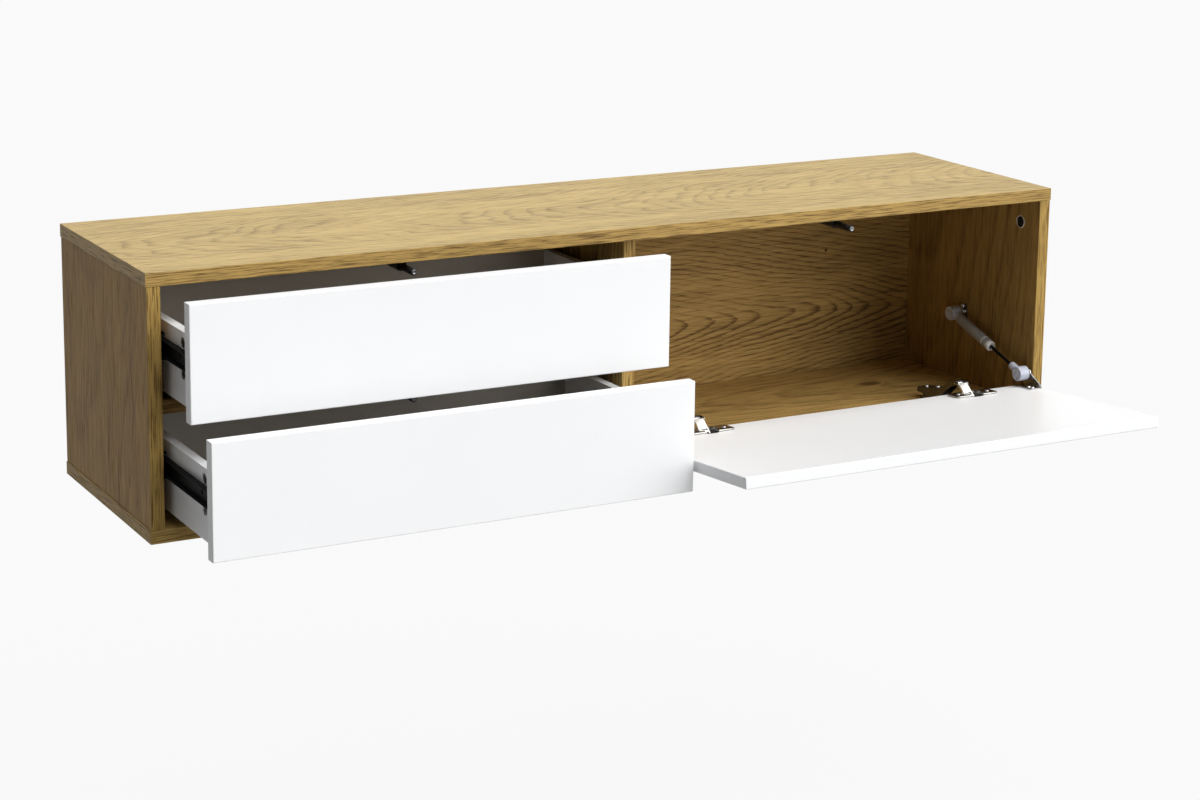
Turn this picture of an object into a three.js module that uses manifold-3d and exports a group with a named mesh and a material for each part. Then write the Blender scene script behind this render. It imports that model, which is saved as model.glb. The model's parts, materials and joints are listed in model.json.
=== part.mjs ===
// Floating media console: a wall-hung cabinet with two push-open drawers in its left bay
// and a drop-down flap, on concealed hinges with a damper strut, in its right bay.
// Millimetres, +Z up, front towards -Y. The origin is the centre of the wall cleat's rear face.
// It is shown as it stands with both drawers part out and the flap down.
import * as THREE from "three";
import { mergeVertices } from "three/addons/utils/BufferGeometryUtils.js";
import Module from "manifold-3d";

const wasm = await Module();
wasm.setup();

// Cabinet
const cabinet_width = 1400;
const cabinet_height = 350;
const cabinet_depth = 350;
const board = 18; // thickness of the carcass boards
const board_edge = 0.6; // eased edges of the boards
const seam = 0.3; // between pieces that are screwed or glued together
const cut_over = 2; // how far a cut runs past what it cuts
const side_inset = 1; // the sides stand in from the ends of top and bottom
const left_bay_width = 668; // left side to divider
const inner_setback = 21; // front edge of divider and rail behind the cabinet's front
const rail_lap = 11; // how far the lower drawer front covers the rail
const rail_depth = 80;
const back_thickness = 8;
const back_groove = 6;
const hanging_space = 12; // behind the back panel
const cable_hole_r = 2.5;
const cable_hole_from_right = 177;
const cable_hole_height = 209;

// Wall hanging
const cabinet_cleat_height = 70; // at its front face, below the top panel
const wall_cleat_height = 62;
const mount_rise = 25; // centre of the wall cleat's rear face above its lower edge
const spacer_bottom = 24;
const spacer_height = 40;

// Fronts, with the shadow gaps round them
const front_thickness = 18;
const front_edge = 1.2;
const front_gap = 4;
const end_gap = 3; // fronts to the sides
const front_overlap = 7; // drawer fronts over the divider
const flap_thickness = 16;

// Drawers
const upper_pull = 95; // how far each drawer stands out
const lower_pull = 165;
const box_rear_gap = 12; // box to the back panel, closed
const box_rise = 12; // box above the front's lower edge
const box_headroom = 45.5; // and below its upper edge
const box_board = 12;
const drawer_bottom_rise = 10;
const drawer_bottom_thickness = 5;
const drawer_groove = 4;
const drawer_cam_r = 7.5;
const drawer_cam_depth = 9;
const drawer_cam_setback = 34;
const drawer_cam_drops = [14.5, 53.5]; // below the box's upper edge

// Ball slides
const slide_space = 12.7; // between drawer side and cabinet side
const slide_rear_gap = 9; // cabinet member to the back panel
const inner_slide_spare = 10; // drawer member shorter than the box
const slide_setback = 3; // behind the drawer front
const slide_drop = 32.5; // middle of the slide below the box's upper edge
const slide_height = 35;
const slide_metal = 1.3;
const slide_lip = 1.8;
const inner_slide_height = 22;
const cage_length = 120;
const cage_shift = 24; // middle of the cage behind the middle of the cabinet member, closed
const cage_metal = 0.8;
const ball_r = 2.2;
const ball_pitch = 27;
const balls_per_row = 4;
const ball_detail = 1;
const slide_hole_r = 2.2;
const slide_hole_inset = 37;

// Cam fittings of the carcass
const cam_r = 9.6;
const cam_depth = 12;
const cam_setback = 45;
const cam_drop = 39; // below the top panel
const cam_slot_width = 2.4;
const cam_slot_depth = 2;

// Push latches
const latch_width = 15;
const latch_height = 17.5;
const latch_length = 75;
const latch_setback = 28;
const latch_wall = 3;
const latch_axis_drop = 11;
const plunger_r = 4.6;
const plunger_reach = 31; // how far the plunger stands past a closed drawer's front
const plunger_grip = 14; // what stays in the housing when it is out
const plunger_chamfer = 1;
const tip_r = 3.2;
const tip_length = 3;
const tip_proud = 1;
const tip_recess_r = 2.1;
const tip_recess = 0.5;
const running = 0.35; // running clearance of round pieces in their bores

// Flap and its swing
const flap_tilt = 4.7; // degrees that the open flap stands above the horizontal
const flap_axis_depth = 0.74; // hinge line behind the flap's front face
const flap_axis_rise = 12.85; // hinge line above the flap's lower edge

// Concealed hinges
const hinge_inset = 112; // from each end of the flap
const cup_r = 17.5;
const cup_depth = 11.5;
const cup_wall = 1.1;
const cup_centre = 21.75; // from the flap's lower edge
const cup_rim = 1; // flange thickness
const cup_flange_length = 70;
const cup_flange_width = 24;
const cup_flange_corner = 5;
const cup_screw_r = 2.2;
const cup_screw_reach = 24;
const cup_notch_width = 20;
const cup_notch_depth = 4;
const arm_width = 18;
const arm_metal = 1.4;
const arm_web_drop = 1.75; // the web's thickness, measured upright on its slopes
const block_drop = 0.5; // the plate's block below the arm's web
const arm_rear = 120; // all arm places are behind the cabinet's front and above its lower face
const arm_rear_foot = 27;
const arm_rear_top = 34.5;
const arm_knee = 98;
const arm_knee_top = 38.5;
const arm_bend = 62;
const arm_bend_top = 46;
const arm_crank = 40;
const arm_crank_top = 60.5;
const arm_nose = 31;
const arm_nose_top = 64.4;
const arm_mouth = 25; // where the web ends and the cheeks go on
const arm_heel = 68; // where the cheeks' lower edge starts to rise
const nose_heel = 38;
const nose_heel_rise = 53;
const nose_r = 3; // of the cheeks round the pins
const outer_pin_y = 27;
const outer_pin_z = 60.8;
const inner_pin_y = 19.3;
const inner_pin_z = 60.9;
const outer_swing_r = 12.9; // from the flap's axis to each link's far end
const inner_swing_r = 10.8;
const pin_r = 1.2;
const front_link_width = 14.4;
const rear_link_width = 11.2;
const link_metal = 1.2;
const link_eye_r = 1.6;
const link_web_reach = 17;
const link_gap = 0.4;
const plate_thickness = 2;
const plate_front = 46;
const plate_rear = 112;
const plate_width = 20;
const plate_corner = 3;
const wing_centre = 78;
const wing_length = 18;
const wing_span = 48;
const wing_hole_reach = 17;
const wing_hole_r = 2.3;
const block_front = 72;
const block_rear = 108;

// Damper strut
const strut_inset = 16; // strut's plane to the flap's right end
const strut_y = 177.5;
const strut_z = 126.5;
const strut_foot_u = 13; // lower pivot from the flap's lower edge
const strut_foot_h = 20; // and above the flap's inner face
const fitting_r = 10.8;
const fitting_length = 17;
const fitting_round = 0.8;
const fitting_recess_r = 8;
const fitting_recess = 1;
const neck_r = 6;
const upper_neck = 17;
const barrel_r = 7.9;
const barrel_end = 104; // from the upper pivot
const barrel_cap = 3;
const barrel_cap_r = 7.4;
const barrel_groove = 86;
const barrel_groove_width = 1;
const barrel_groove_depth = 0.5;
const barrel_floor = 42; // where the bore ends, from the upper pivot
const rod_r = 2.2;
const rod_start = 72;
const lower_neck = 24;
const lower_neck_r = 6;
const rod_seat = 6; // how far the rod goes into its fitting
const bracket_metal = 1.6;
const upright_gap = 4.8; // the flap bracket's upright, outer face, past its boss
const side_bracket_width = 20;
const side_bracket_height = 28;
const side_bracket_corner = 5;
const side_bracket_screw_reach = 9.4;
const side_bracket_screw_r = 2.2;
const stud_r = 3.7;
const stud_collar_r = 6;
const stud_grip = 10;
const flap_bracket_start = 3;
const flap_bracket_length = 42;
const flap_bracket_width = 20;
const flap_bracket_head_r = 7;
const flap_bracket_heel = 3;
const flap_bracket_screw_r = 2.2;
const flap_bracket_screw_inset = 7;
const boss_r = 4.5;
const boss_gap = 0.4;

// Smoothness
const turn_sides = 28;
const small_sides = 16;
const arc_steps = 6;
const edge_steps = 2;

// Worked-out places
const back_face = cabinet_depth - hanging_space - back_thickness;
const side_inner_left = side_inset + board;
const side_inner_right = cabinet_width - side_inset - board;
const divider_left = side_inner_left + left_bay_width;
const top_underside = cabinet_height - board;
const front_bottom = board + front_gap;
const front_top = top_underside - front_gap;
const drawer_left = side_inner_left + end_gap;
const drawer_right = divider_left + front_overlap;
const drawer_front_height = (front_top - front_bottom - front_gap) / 2;
const rail_bottom = front_bottom + drawer_front_height - rail_lap;
const rail_top = rail_bottom + board;
const box_depth = back_face - front_thickness - box_rear_gap;
const box_height = drawer_front_height - box_rise - box_headroom;
const slide_length = back_face - inner_setback - slide_rear_gap;
const inner_slide_length = box_depth - inner_slide_spare;
const cage_centre = inner_setback + slide_length / 2 + cage_shift;
const cleat_split = top_underside - cabinet_cleat_height; // where the cleats meet at their front face
const wall_cleat_bottom = cleat_split - wall_cleat_height;
const mount_height = wall_cleat_bottom + mount_rise;
const flap_left = drawer_right + front_gap;
const flap_right = side_inner_right - end_gap;
const flap_height = front_top - front_bottom;
const flap_open = (90 - flap_tilt) * (Math.PI / 180);
const flap_axis_y = flap_axis_depth;
const flap_axis_z = front_bottom + flap_axis_rise;
const flap_face_y = flap_thickness - flap_axis_depth; // from the axis, closed
const flap_foot_z = -flap_axis_rise;

// Solids
function solidOf(geometry) {
  const bare = geometry.clone();
  for (const name of Object.keys(bare.attributes))
    if (name !== "position") bare.deleteAttribute(name);
  const merged = mergeVertices(bare, 1e-4);
  return new wasm.Manifold(
    new wasm.Mesh({
      numProp: 3,
      vertProperties: merged.attributes.position.array,
      triVerts: new Uint32Array(merged.index.array),
    }),
  );
}

function geometryOf(solid) {
  const mesh = solid.getMesh();
  const geometry = new THREE.BufferGeometry();
  geometry.setAttribute("position", new THREE.BufferAttribute(mesh.vertProperties, 3));
  geometry.setIndex(new THREE.BufferAttribute(mesh.triVerts, 1));
  const flat = geometry.toNonIndexed();
  flat.computeVertexNormals();
  return flat;
}

function cut(base, ...tools) {
  let solid = solidOf(base);
  for (const tool of tools) solid = solid.subtract(solidOf(tool));
  return geometryOf(solid);
}

function join(base, ...others) {
  let solid = solidOf(base);
  for (const other of others) solid = solid.add(solidOf(other));
  return geometryOf(solid);
}

// A box between two corners.
function box(x0, x1, y0, y1, z0, z1) {
  const g = new THREE.BoxGeometry(x1 - x0, y1 - y0, z1 - z0);
  return g.translate((x0 + x1) / 2, (y0 + y1) / 2, (z0 + z1) / 2);
}

// A box whose edges are eased all round the two faces square to one axis.
function easedBox(x0, x1, y0, y1, z0, z1, axis, ease) {
  const size = { x: [x0, x1], y: [y0, y1], z: [z0, z1] };
  const [a, b] = { x: ["y", "z"], y: ["z", "x"], z: ["x", "y"] }[axis];
  const shape = new THREE.Shape();
  shape.moveTo(size[a][0] + ease, size[b][0] + ease);
  shape.lineTo(size[a][1] - ease, size[b][0] + ease);
  shape.lineTo(size[a][1] - ease, size[b][1] - ease);
  shape.lineTo(size[a][0] + ease, size[b][1] - ease);
  shape.closePath();
  const depth = size[axis][1] - size[axis][0] - ease - ease;
  const g = new THREE.ExtrudeGeometry(shape, {
    depth,
    bevelEnabled: true,
    bevelThickness: ease,
    bevelSize: ease,
    bevelSegments: edge_steps,
    steps: 1,
  });
  g.translate(0, 0, size[axis][0] + ease);
  return turnTo(g, axis);
}

// Takes a solid drawn in the plane (next, after next) and raised along Z to another axis.
function turnTo(g, axis) {
  const m = new THREE.Matrix4();
  if (axis === "x") m.set(0, 0, 1, 0, 1, 0, 0, 0, 0, 1, 0, 0, 0, 0, 0, 1);
  else if (axis === "y") m.set(0, 1, 0, 0, 0, 0, 1, 0, 1, 0, 0, 0, 0, 0, 0, 1);
  return g.applyMatrix4(m);
}

// A flat outline raised along an axis, from a to b. Along X it is drawn in (Y, Z),
// along Y in (Z, X) and along Z in (X, Y).
function slab(shape, axis, a, b) {
  const g = new THREE.ExtrudeGeometry(shape, {
    depth: b - a,
    bevelEnabled: false,
    curveSegments: arc_steps,
    steps: 1,
  });
  g.translate(0, 0, a);
  return turnTo(g, axis);
}

function outline(points) {
  return new THREE.Shape(points.map(([a, b]) => new THREE.Vector2(a, b)));
}

function roundedRect(a0, a1, b0, b1, r) {
  const s = new THREE.Shape();
  s.moveTo(a0 + r, b0);
  s.lineTo(a1 - r, b0);
  s.absarc(a1 - r, b0 + r, r, -Math.PI / 2, 0, false);
  s.lineTo(a1, b1 - r);
  s.absarc(a1 - r, b1 - r, r, 0, Math.PI / 2, false);
  s.lineTo(a0 + r, b1);
  s.absarc(a0 + r, b1 - r, r, Math.PI / 2, Math.PI, false);
  s.lineTo(a0, b0 + r);
  s.absarc(a0 + r, b0 + r, r, Math.PI, Math.PI * 1.5, false);
  return s;
}

// A round bar along an axis from a to b, its centre at the two other coordinates,
// which come in the order of slab's drawing plane.
function bar(axis, a, b, c, d, r, sides = small_sides) {
  const g = new THREE.CylinderGeometry(r, r, b - a, sides);
  g.rotateX(Math.PI / 2);
  g.translate(c, d, (a + b) / 2);
  return turnTo(g, axis);
}

// A turned piece: profile points (radius, height), its axis laid along the named axis.
function turned(profile, axis, sides = turn_sides) {
  const g = new THREE.LatheGeometry(
    profile.map(([r, h]) => new THREE.Vector2(r, h)),
    sides,
  );
  g.rotateX(Math.PI / 2);
  return turnTo(g, axis);
}

// Materials
const OAK = { color: 0xc8b282, roughness: 0.55, metalness: 0 };
const WHITE = { color: 0xf4f4f2, roughness: 0.35, metalness: 0 };
const SLIDE_BLACK = { color: 0x111111, roughness: 0.4, metalness: 0.6 };
const PLASTIC_BLACK = { color: 0x161616, roughness: 0.5, metalness: 0 };
const NICKEL = { color: 0xc9c6bf, roughness: 0.22, metalness: 1 };
const STEEL = { color: 0xb8b8b8, roughness: 0.35, metalness: 1 };
const DAMPER_GREY = { color: 0x4a4a4c, roughness: 0.45, metalness: 0.3 };
const FITTING_GREY = { color: 0x8b8b92, roughness: 0.5, metalness: 0 };
const RAW_BOARD = { color: 0xb79b6c, roughness: 0.8, metalness: 0 };

function piece(parent, name, geometry, look) {
  const mesh = new THREE.Mesh(geometry, new THREE.MeshStandardMaterial(look));
  mesh.name = name;
  parent.add(mesh);
  return mesh;
}

const console_group = new THREE.Group();
const cabinet = new THREE.Group();
cabinet.position.set(-cabinet_width / 2, -cabinet_depth, -mount_height);
console_group.add(cabinet);

// Carcass
const groove_rear = back_face + back_thickness;
const back_rise = board - back_groove;

function groovedBoard(x0, x1, z0, z1, axis, groove) {
  const shell = easedBox(x0, x1, 0, cabinet_depth, z0, z1, axis, board_edge);
  return cut(shell, groove);
}

const groove_left = side_inset + back_rise;
const groove_right = cabinet_width - side_inset - back_rise;
const groove_low = back_rise;
const groove_high = cabinet_height - back_rise;
piece(
  cabinet,
  "top_panel",
  groovedBoard(
    0, cabinet_width, top_underside, cabinet_height, "z",
    box(groove_left, groove_right, back_face, groove_rear, top_underside - cut_over, groove_high),
  ),
  OAK,
);
piece(
  cabinet,
  "bottom_panel",
  groovedBoard(
    0, cabinet_width, 0, board, "z",
    box(groove_left, groove_right, back_face, groove_rear, groove_low, board + cut_over),
  ),
  OAK,
);

// A side board, with the groove for the back and the bore for its cam fitting.
function sideBoard(x0, inner_x, facing) {
  const deep = inner_x - facing * back_groove;
  const clear = inner_x + facing * cut_over;
  const groove = box(
    Math.min(deep, clear), Math.max(deep, clear),
    back_face, groove_rear, 0, cabinet_height,
  );
  const bore_floor = inner_x - facing * (cam_depth + seam);
  const bore = bar(
    "x", Math.min(bore_floor, clear), Math.max(bore_floor, clear),
    cam_setback, top_underside - cam_drop, cam_r + running, turn_sides,
  );
  const shell = easedBox(
    x0, x0 + board, 0, cabinet_depth, board + seam, top_underside - seam, "x", board_edge,
  );
  return cut(shell, groove, bore);
}

piece(cabinet, "left_side", sideBoard(side_inset, side_inner_left, 1), OAK);
piece(cabinet, "right_side", sideBoard(side_inner_right, side_inner_right, -1), OAK);

function camFitting(inner_x, facing) {
  const deep = inner_x - facing * cam_depth;
  const slot_floor = inner_x - facing * cam_slot_depth;
  const clear = inner_x + facing * cut_over;
  const z = top_underside - cam_drop;
  const body = bar("x", Math.min(deep, inner_x), Math.max(deep, inner_x), cam_setback, z, cam_r, turn_sides);
  const slot = (w, h) =>
    box(
      Math.min(slot_floor, clear), Math.max(slot_floor, clear),
      cam_setback - w / 2, cam_setback + w / 2, z - h / 2, z + h / 2,
    );
  return cut(body, slot(cam_slot_width, cam_r), slot(cam_r, cam_slot_width));
}

piece(cabinet, "left_cam", camFitting(side_inner_left, 1), STEEL);
piece(cabinet, "right_cam", camFitting(side_inner_right, -1), STEEL);
piece(
  cabinet,
  "middle_divider",
  easedBox(
    divider_left, divider_left + board, inner_setback, back_face - seam,
    board + seam, top_underside - seam, "x", board_edge,
  ),
  OAK,
);
piece(
  cabinet,
  "middle_rail",
  easedBox(
    side_inner_left + seam, divider_left - seam, inner_setback, inner_setback + rail_depth,
    rail_bottom, rail_top, "z", board_edge,
  ),
  OAK,
);
const cable_hole_x = cabinet_width - cable_hole_from_right;
piece(
  cabinet,
  "back_panel",
  cut(
    box(
      groove_left + seam, groove_right - seam, back_face + seam, groove_rear - seam,
      groove_low + seam, groove_high - seam,
    ),
    bar(
      "y", back_face - cut_over, groove_rear + cut_over,
      cable_hole_height, cable_hole_x, cable_hole_r,
    ),
  ),
  OAK,
);

// Wall hanging: the cabinet's cleat hooks behind the bevel of the wall's
const cleat_front = groove_rear;
const cleat_left = side_inner_left + seam;
const cleat_right = side_inner_right - seam;
const cleat_drop = cabinet_depth - cleat_front - seam;
piece(
  cabinet,
  "cabinet_cleat",
  slab(
    outline([
      [cleat_front, cleat_split + seam],
      [cabinet_depth - seam, cleat_split - cleat_drop + seam],
      [cabinet_depth - seam, top_underside - seam],
      [cleat_front, top_underside - seam],
    ]),
    "x", cleat_left, cleat_right,
  ),
  RAW_BOARD,
);
piece(
  cabinet,
  "wall_cleat",
  slab(
    outline([
      [cleat_front + seam, wall_cleat_bottom],
      [cabinet_depth, wall_cleat_bottom],
      [cabinet_depth, cleat_split - cleat_drop - seam - seam],
      [cleat_front + seam, cleat_split - seam],
    ]),
    "x", cleat_left, cleat_right,
  ),
  RAW_BOARD,
);
piece(
  cabinet,
  "lower_spacer",
  box(
    cleat_left, cleat_right, cleat_front, cabinet_depth,
    spacer_bottom, spacer_bottom + spacer_height,
  ),
  RAW_BOARD,
);

// Ball slides. Across the gap, s runs from the cabinet's side (0) to the drawer's (slide_space).
const slide_front = inner_setback;
const slide_half = slide_height / 2;
const inner_half = inner_slide_height / 2;
const track_s1 = slide_space - slide_lip;
const track_shape = [
  [seam, -slide_half],
  [track_s1, -slide_half],
  [track_s1, -slide_half + slide_metal + slide_lip],
  [track_s1 - slide_metal, -slide_half + slide_metal + slide_lip],
  [track_s1 - slide_metal, -slide_half + slide_metal],
  [seam + slide_metal, -slide_half + slide_metal],
  [seam + slide_metal, slide_half - slide_metal],
  [track_s1 - slide_metal, slide_half - slide_metal],
  [track_s1 - slide_metal, slide_half - slide_metal - slide_lip],
  [track_s1, slide_half - slide_metal - slide_lip],
  [track_s1, slide_half],
  [seam, slide_half],
];
const cage_s = seam + slide_metal + cage_metal; // outer face of the cage's web
const inner_lip_s = cage_s + cage_metal + seam + seam;
const inner_web_s = slide_space - seam - slide_metal;
const inner_shape = [
  [inner_lip_s, -inner_half],
  [slide_space - seam, -inner_half],
  [slide_space - seam, inner_half],
  [inner_lip_s, inner_half],
  [inner_lip_s, inner_half - slide_metal],
  [inner_web_s, inner_half - slide_metal],
  [inner_web_s, -inner_half + slide_metal],
  [inner_lip_s, -inner_half + slide_metal],
];
const ball_z = (slide_half - slide_metal + inner_half) / 2;
const ball_s = (inner_lip_s + track_s1 - slide_metal) / 2;
const cage_half = ball_z + cage_metal;

// A slide's section, set against the side at wall_x and facing +1 or -1 along X.
function slideProfile(points, wall_x, facing, height, y0, y1) {
  const placed = points.map(([s, z]) => [height + z, wall_x + facing * s]);
  return slab(outline(facing > 0 ? placed.reverse() : placed), "y", y0, y1);
}

function slideHoles(wall_x, facing, height, y0, y1) {
  return [y0 + slide_hole_inset, y1 - slide_hole_inset].map((y) => {
    const far = wall_x + facing * (slide_space + cut_over);
    const near = wall_x - facing * cut_over;
    return bar("x", Math.min(near, far), Math.max(near, far), y, height, slide_hole_r, small_sides / 2);
  });
}

function cageGeometry(wall_x, facing, height, y0) {
  const y1 = y0 + cage_length;
  const strip_end = ball_s + ball_r;
  const shape = [
    [cage_s, -cage_half],
    [strip_end, -cage_half],
    [strip_end, -ball_z],
    [cage_s + cage_metal, -ball_z],
    [cage_s + cage_metal, ball_z],
    [strip_end, ball_z],
    [strip_end, cage_half],
    [cage_s, cage_half],
  ];
  const balls = [];
  for (const row of [-1, 1])
    for (let i = 0; i < balls_per_row; i++) {
      const ball = new THREE.OctahedronGeometry(ball_r, ball_detail);
      const y = (y0 + y1) / 2 + (i - (balls_per_row - 1) / 2) * ball_pitch;
      ball.translate(wall_x + facing * ball_s, y, height + row * ball_z);
      balls.push(ball);
    }
  return join(slideProfile(shape, wall_x, facing, height, y0, y1), ...balls);
}

// Drawers
const box_left = side_inner_left + slide_space;
const box_right = divider_left - slide_space;

function buildDrawer(prefix, bottom, pull) {
  const drawer = new THREE.Group();
  drawer.position.y = -pull;
  cabinet.add(drawer);
  const front_back = front_thickness;
  const box_front = front_back + seam;
  const box_back = front_back + box_depth;
  const low = bottom + box_rise;
  const high = low + box_height;
  const floor_low = low + drawer_bottom_rise;
  const floor_high = floor_low + drawer_bottom_thickness;
  piece(
    drawer,
    prefix + "_drawer_front",
    easedBox(
      drawer_left, drawer_right, 0, front_back,
      bottom, bottom + drawer_front_height, "y", front_edge,
    ),
    WHITE,
  );
  const floor_rear = box_back - box_board - seam;
  const cams = (outer_x, facing) =>
    drawer_cam_drops.map((drop) => {
      const deep = outer_x + facing * drawer_cam_depth;
      const clear = outer_x - facing * cut_over;
      return bar(
        "x", Math.min(deep, clear), Math.max(deep, clear),
        front_back + drawer_cam_setback, high - drop, drawer_cam_r, turn_sides,
      );
    });
  const boxSide = (outer_x, facing) => {
    const inner_x = outer_x + facing * box_board;
    const groove_deep = inner_x - facing * drawer_groove;
    const groove_clear = inner_x + facing * cut_over;
    return cut(
      box(
        Math.min(outer_x, inner_x), Math.max(outer_x, inner_x),
        box_front, box_back, low, high,
      ),
      box(
        Math.min(groove_deep, groove_clear), Math.max(groove_deep, groove_clear),
        0, floor_rear, floor_low, floor_high,
      ),
      ...cams(outer_x, facing),
    );
  };
  piece(drawer, prefix + "_drawer_left_side", boxSide(box_left, 1), WHITE);
  piece(drawer, prefix + "_drawer_right_side", boxSide(box_right, -1), WHITE);
  const inner_left = box_left + box_board;
  const inner_right = box_right - box_board;
  piece(
    drawer,
    prefix + "_drawer_back",
    box(inner_left + seam, inner_right - seam, box_back - box_board, box_back, low, high),
    WHITE,
  );
  piece(
    drawer,
    prefix + "_drawer_bottom",
    box(
      inner_left - drawer_groove + seam, inner_right + drawer_groove - seam,
      box_front, floor_rear - seam, floor_low + seam, floor_high - seam,
    ),
    WHITE,
  );
  const height = high - slide_drop;
  const member_front = front_back + slide_setback;
  const member_rear = member_front + inner_slide_length;
  const track_rear = slide_front + slide_length;
  const cage_front = cage_centre - cage_length / 2 - pull / 2;
  for (const [hand, wall_x, facing] of [
    ["left", side_inner_left, 1],
    ["right", divider_left, -1],
  ]) {
    piece(
      drawer,
      prefix + "_" + hand + "_inner_slide",
      cut(
        slideProfile(inner_shape, wall_x, facing, height, member_front, member_rear),
        ...slideHoles(wall_x, facing, height, member_front, member_rear),
      ),
      SLIDE_BLACK,
    );
    piece(
      cabinet,
      prefix + "_" + hand + "_slide_cage",
      cageGeometry(wall_x, facing, height, cage_front),
      STEEL,
    );
    piece(
      cabinet,
      prefix + "_" + hand + "_outer_slide",
      cut(
        slideProfile(track_shape, wall_x, facing, height, slide_front, track_rear),
        ...slideHoles(wall_x, facing, height, slide_front, track_rear),
      ),
      SLIDE_BLACK,
    );
  }
}

const lower_bottom = front_bottom;
const upper_bottom = front_bottom + drawer_front_height + front_gap;
buildDrawer("upper", upper_bottom, upper_pull);
buildDrawer("lower", lower_bottom, lower_pull);

// Push latches: a housing under a board, with a sprung plunger that ends in a magnet
function buildLatch(prefix, x, under, closed_face) {
  const ceiling = under - seam;
  const z = under - latch_axis_drop;
  const half = latch_width / 2;
  const foot = under - latch_height + half;
  const section = new THREE.Shape();
  section.moveTo(ceiling, x + half);
  section.lineTo(foot, x + half);
  section.absarc(foot, x, half, Math.PI / 2, Math.PI * 1.5, false);
  section.lineTo(ceiling, x - half);
  section.closePath();
  const rear = latch_setback + latch_length;
  piece(
    cabinet,
    prefix + "_latch_housing",
    cut(
      slab(section, "y", latch_setback, rear),
      bar(
        "y", latch_setback - cut_over, rear - latch_wall, z, x,
        plunger_r + running, turn_sides,
      ),
    ),
    PLASTIC_BLACK,
  );
  const nose = front_thickness + seam - plunger_reach;
  const shoulder = nose + tip_proud;
  const tail = latch_setback + plunger_grip;
  const pocket = tip_length - tip_proud + seam;
  const plunger = turned(
    [
      [0, shoulder + pocket],
      [tip_r + seam, shoulder + pocket],
      [tip_r + seam, shoulder],
      [plunger_r - plunger_chamfer, shoulder],
      [plunger_r, shoulder + plunger_chamfer],
      [plunger_r, tail],
      [0, tail],
    ],
    "y",
  );
  plunger.translate(x, 0, z);
  piece(cabinet, prefix + "_latch_plunger", plunger, PLASTIC_BLACK);
  const tip = turned(
    [
      [0, nose + tip_recess],
      [tip_recess_r, nose + tip_recess],
      [tip_recess_r, nose],
      [tip_r, nose],
      [tip_r, nose + tip_length],
      [0, nose + tip_length],
    ],
    "y",
    small_sides,
  );
  tip.translate(x, 0, z);
  piece(cabinet, prefix + "_latch_tip", tip, STEEL);
}

const drawer_middle = (drawer_left + drawer_right) / 2;
const flap_middle = (flap_left + flap_right) / 2;
buildLatch("upper", drawer_middle, top_underside);
buildLatch("lower", drawer_middle, rail_bottom);
buildLatch("flap", flap_middle, top_underside);

// Flap: drawn closed about its hinge line, then turned down with all that it carries
const flap = new THREE.Group();
flap.position.set(0, flap_axis_y, flap_axis_z);
flap.rotation.x = flap_open;
cabinet.add(flap);

const hinge_places = [
  ["left", flap_left + hinge_inset],
  ["right", flap_right - hinge_inset],
];
const cup_z = flap_foot_z + cup_centre;
piece(
  flap,
  "flap_panel",
  cut(
    easedBox(
      flap_left, flap_right, -flap_axis_depth, flap_face_y,
      flap_foot_z, flap_foot_z + flap_height, "y", front_edge,
    ),
    ...hinge_places.map(([, x]) =>
      bar(
        "y", flap_face_y - cup_depth - seam, flap_face_y + cut_over,
        cup_z, x, cup_r + seam, turn_sides,
      ),
    ),
  ),
  WHITE,
);

// Cups of the concealed hinges
const cup_seat = flap_face_y + seam;
const cup_top = cup_seat + cup_rim;
const cup_floor = flap_face_y - cup_depth;
for (const [hand, x] of hinge_places) {
  const shell = turned(
    [
      [0, cup_floor],
      [cup_r, cup_floor],
      [cup_r, cup_top],
      [0, cup_top],
    ],
    "y",
  );
  const hollow = turned(
    [
      [0, cup_floor + cup_wall],
      [cup_r - cup_wall, cup_floor + cup_wall],
      [cup_r - cup_wall, cup_top + cut_over],
      [0, cup_top + cut_over],
    ],
    "y",
  );
  shell.translate(x, 0, cup_z);
  hollow.translate(x, 0, cup_z);
  const half_width = cup_flange_width / 2;
  const half_length = cup_flange_length / 2;
  const flange = slab(
    roundedRect(
      cup_z - half_width, cup_z + half_width, x - half_length, x + half_length, cup_flange_corner,
    ),
    "y", cup_seat, cup_top,
  );
  const notch = box(
    x - cup_notch_width / 2, x + cup_notch_width / 2,
    cup_top - cup_notch_depth, cup_top + cut_over,
    cup_z - cup_r - cut_over, cup_z,
  );
  const screws = [-1, 1].map((way) =>
    bar("y", cup_seat - cut_over, cup_top + cut_over, cup_z, x + way * cup_screw_reach, cup_screw_r),
  );
  // Past the flange the rim ends flush with the flap.
  const flush = [-1, 1].map((way) => {
    const near = cup_z + way * half_width;
    const far = cup_z + way * (cup_r + cut_over);
    return box(
      x - half_length, x + half_length, flap_face_y, cup_top + cut_over,
      Math.min(near, far), Math.max(near, far),
    );
  });
  piece(
    flap,
    hand + "_hinge_cup",
    cut(join(shell, flange), hollow, notch, ...flush, ...screws),
    NICKEL,
  );
}

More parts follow.
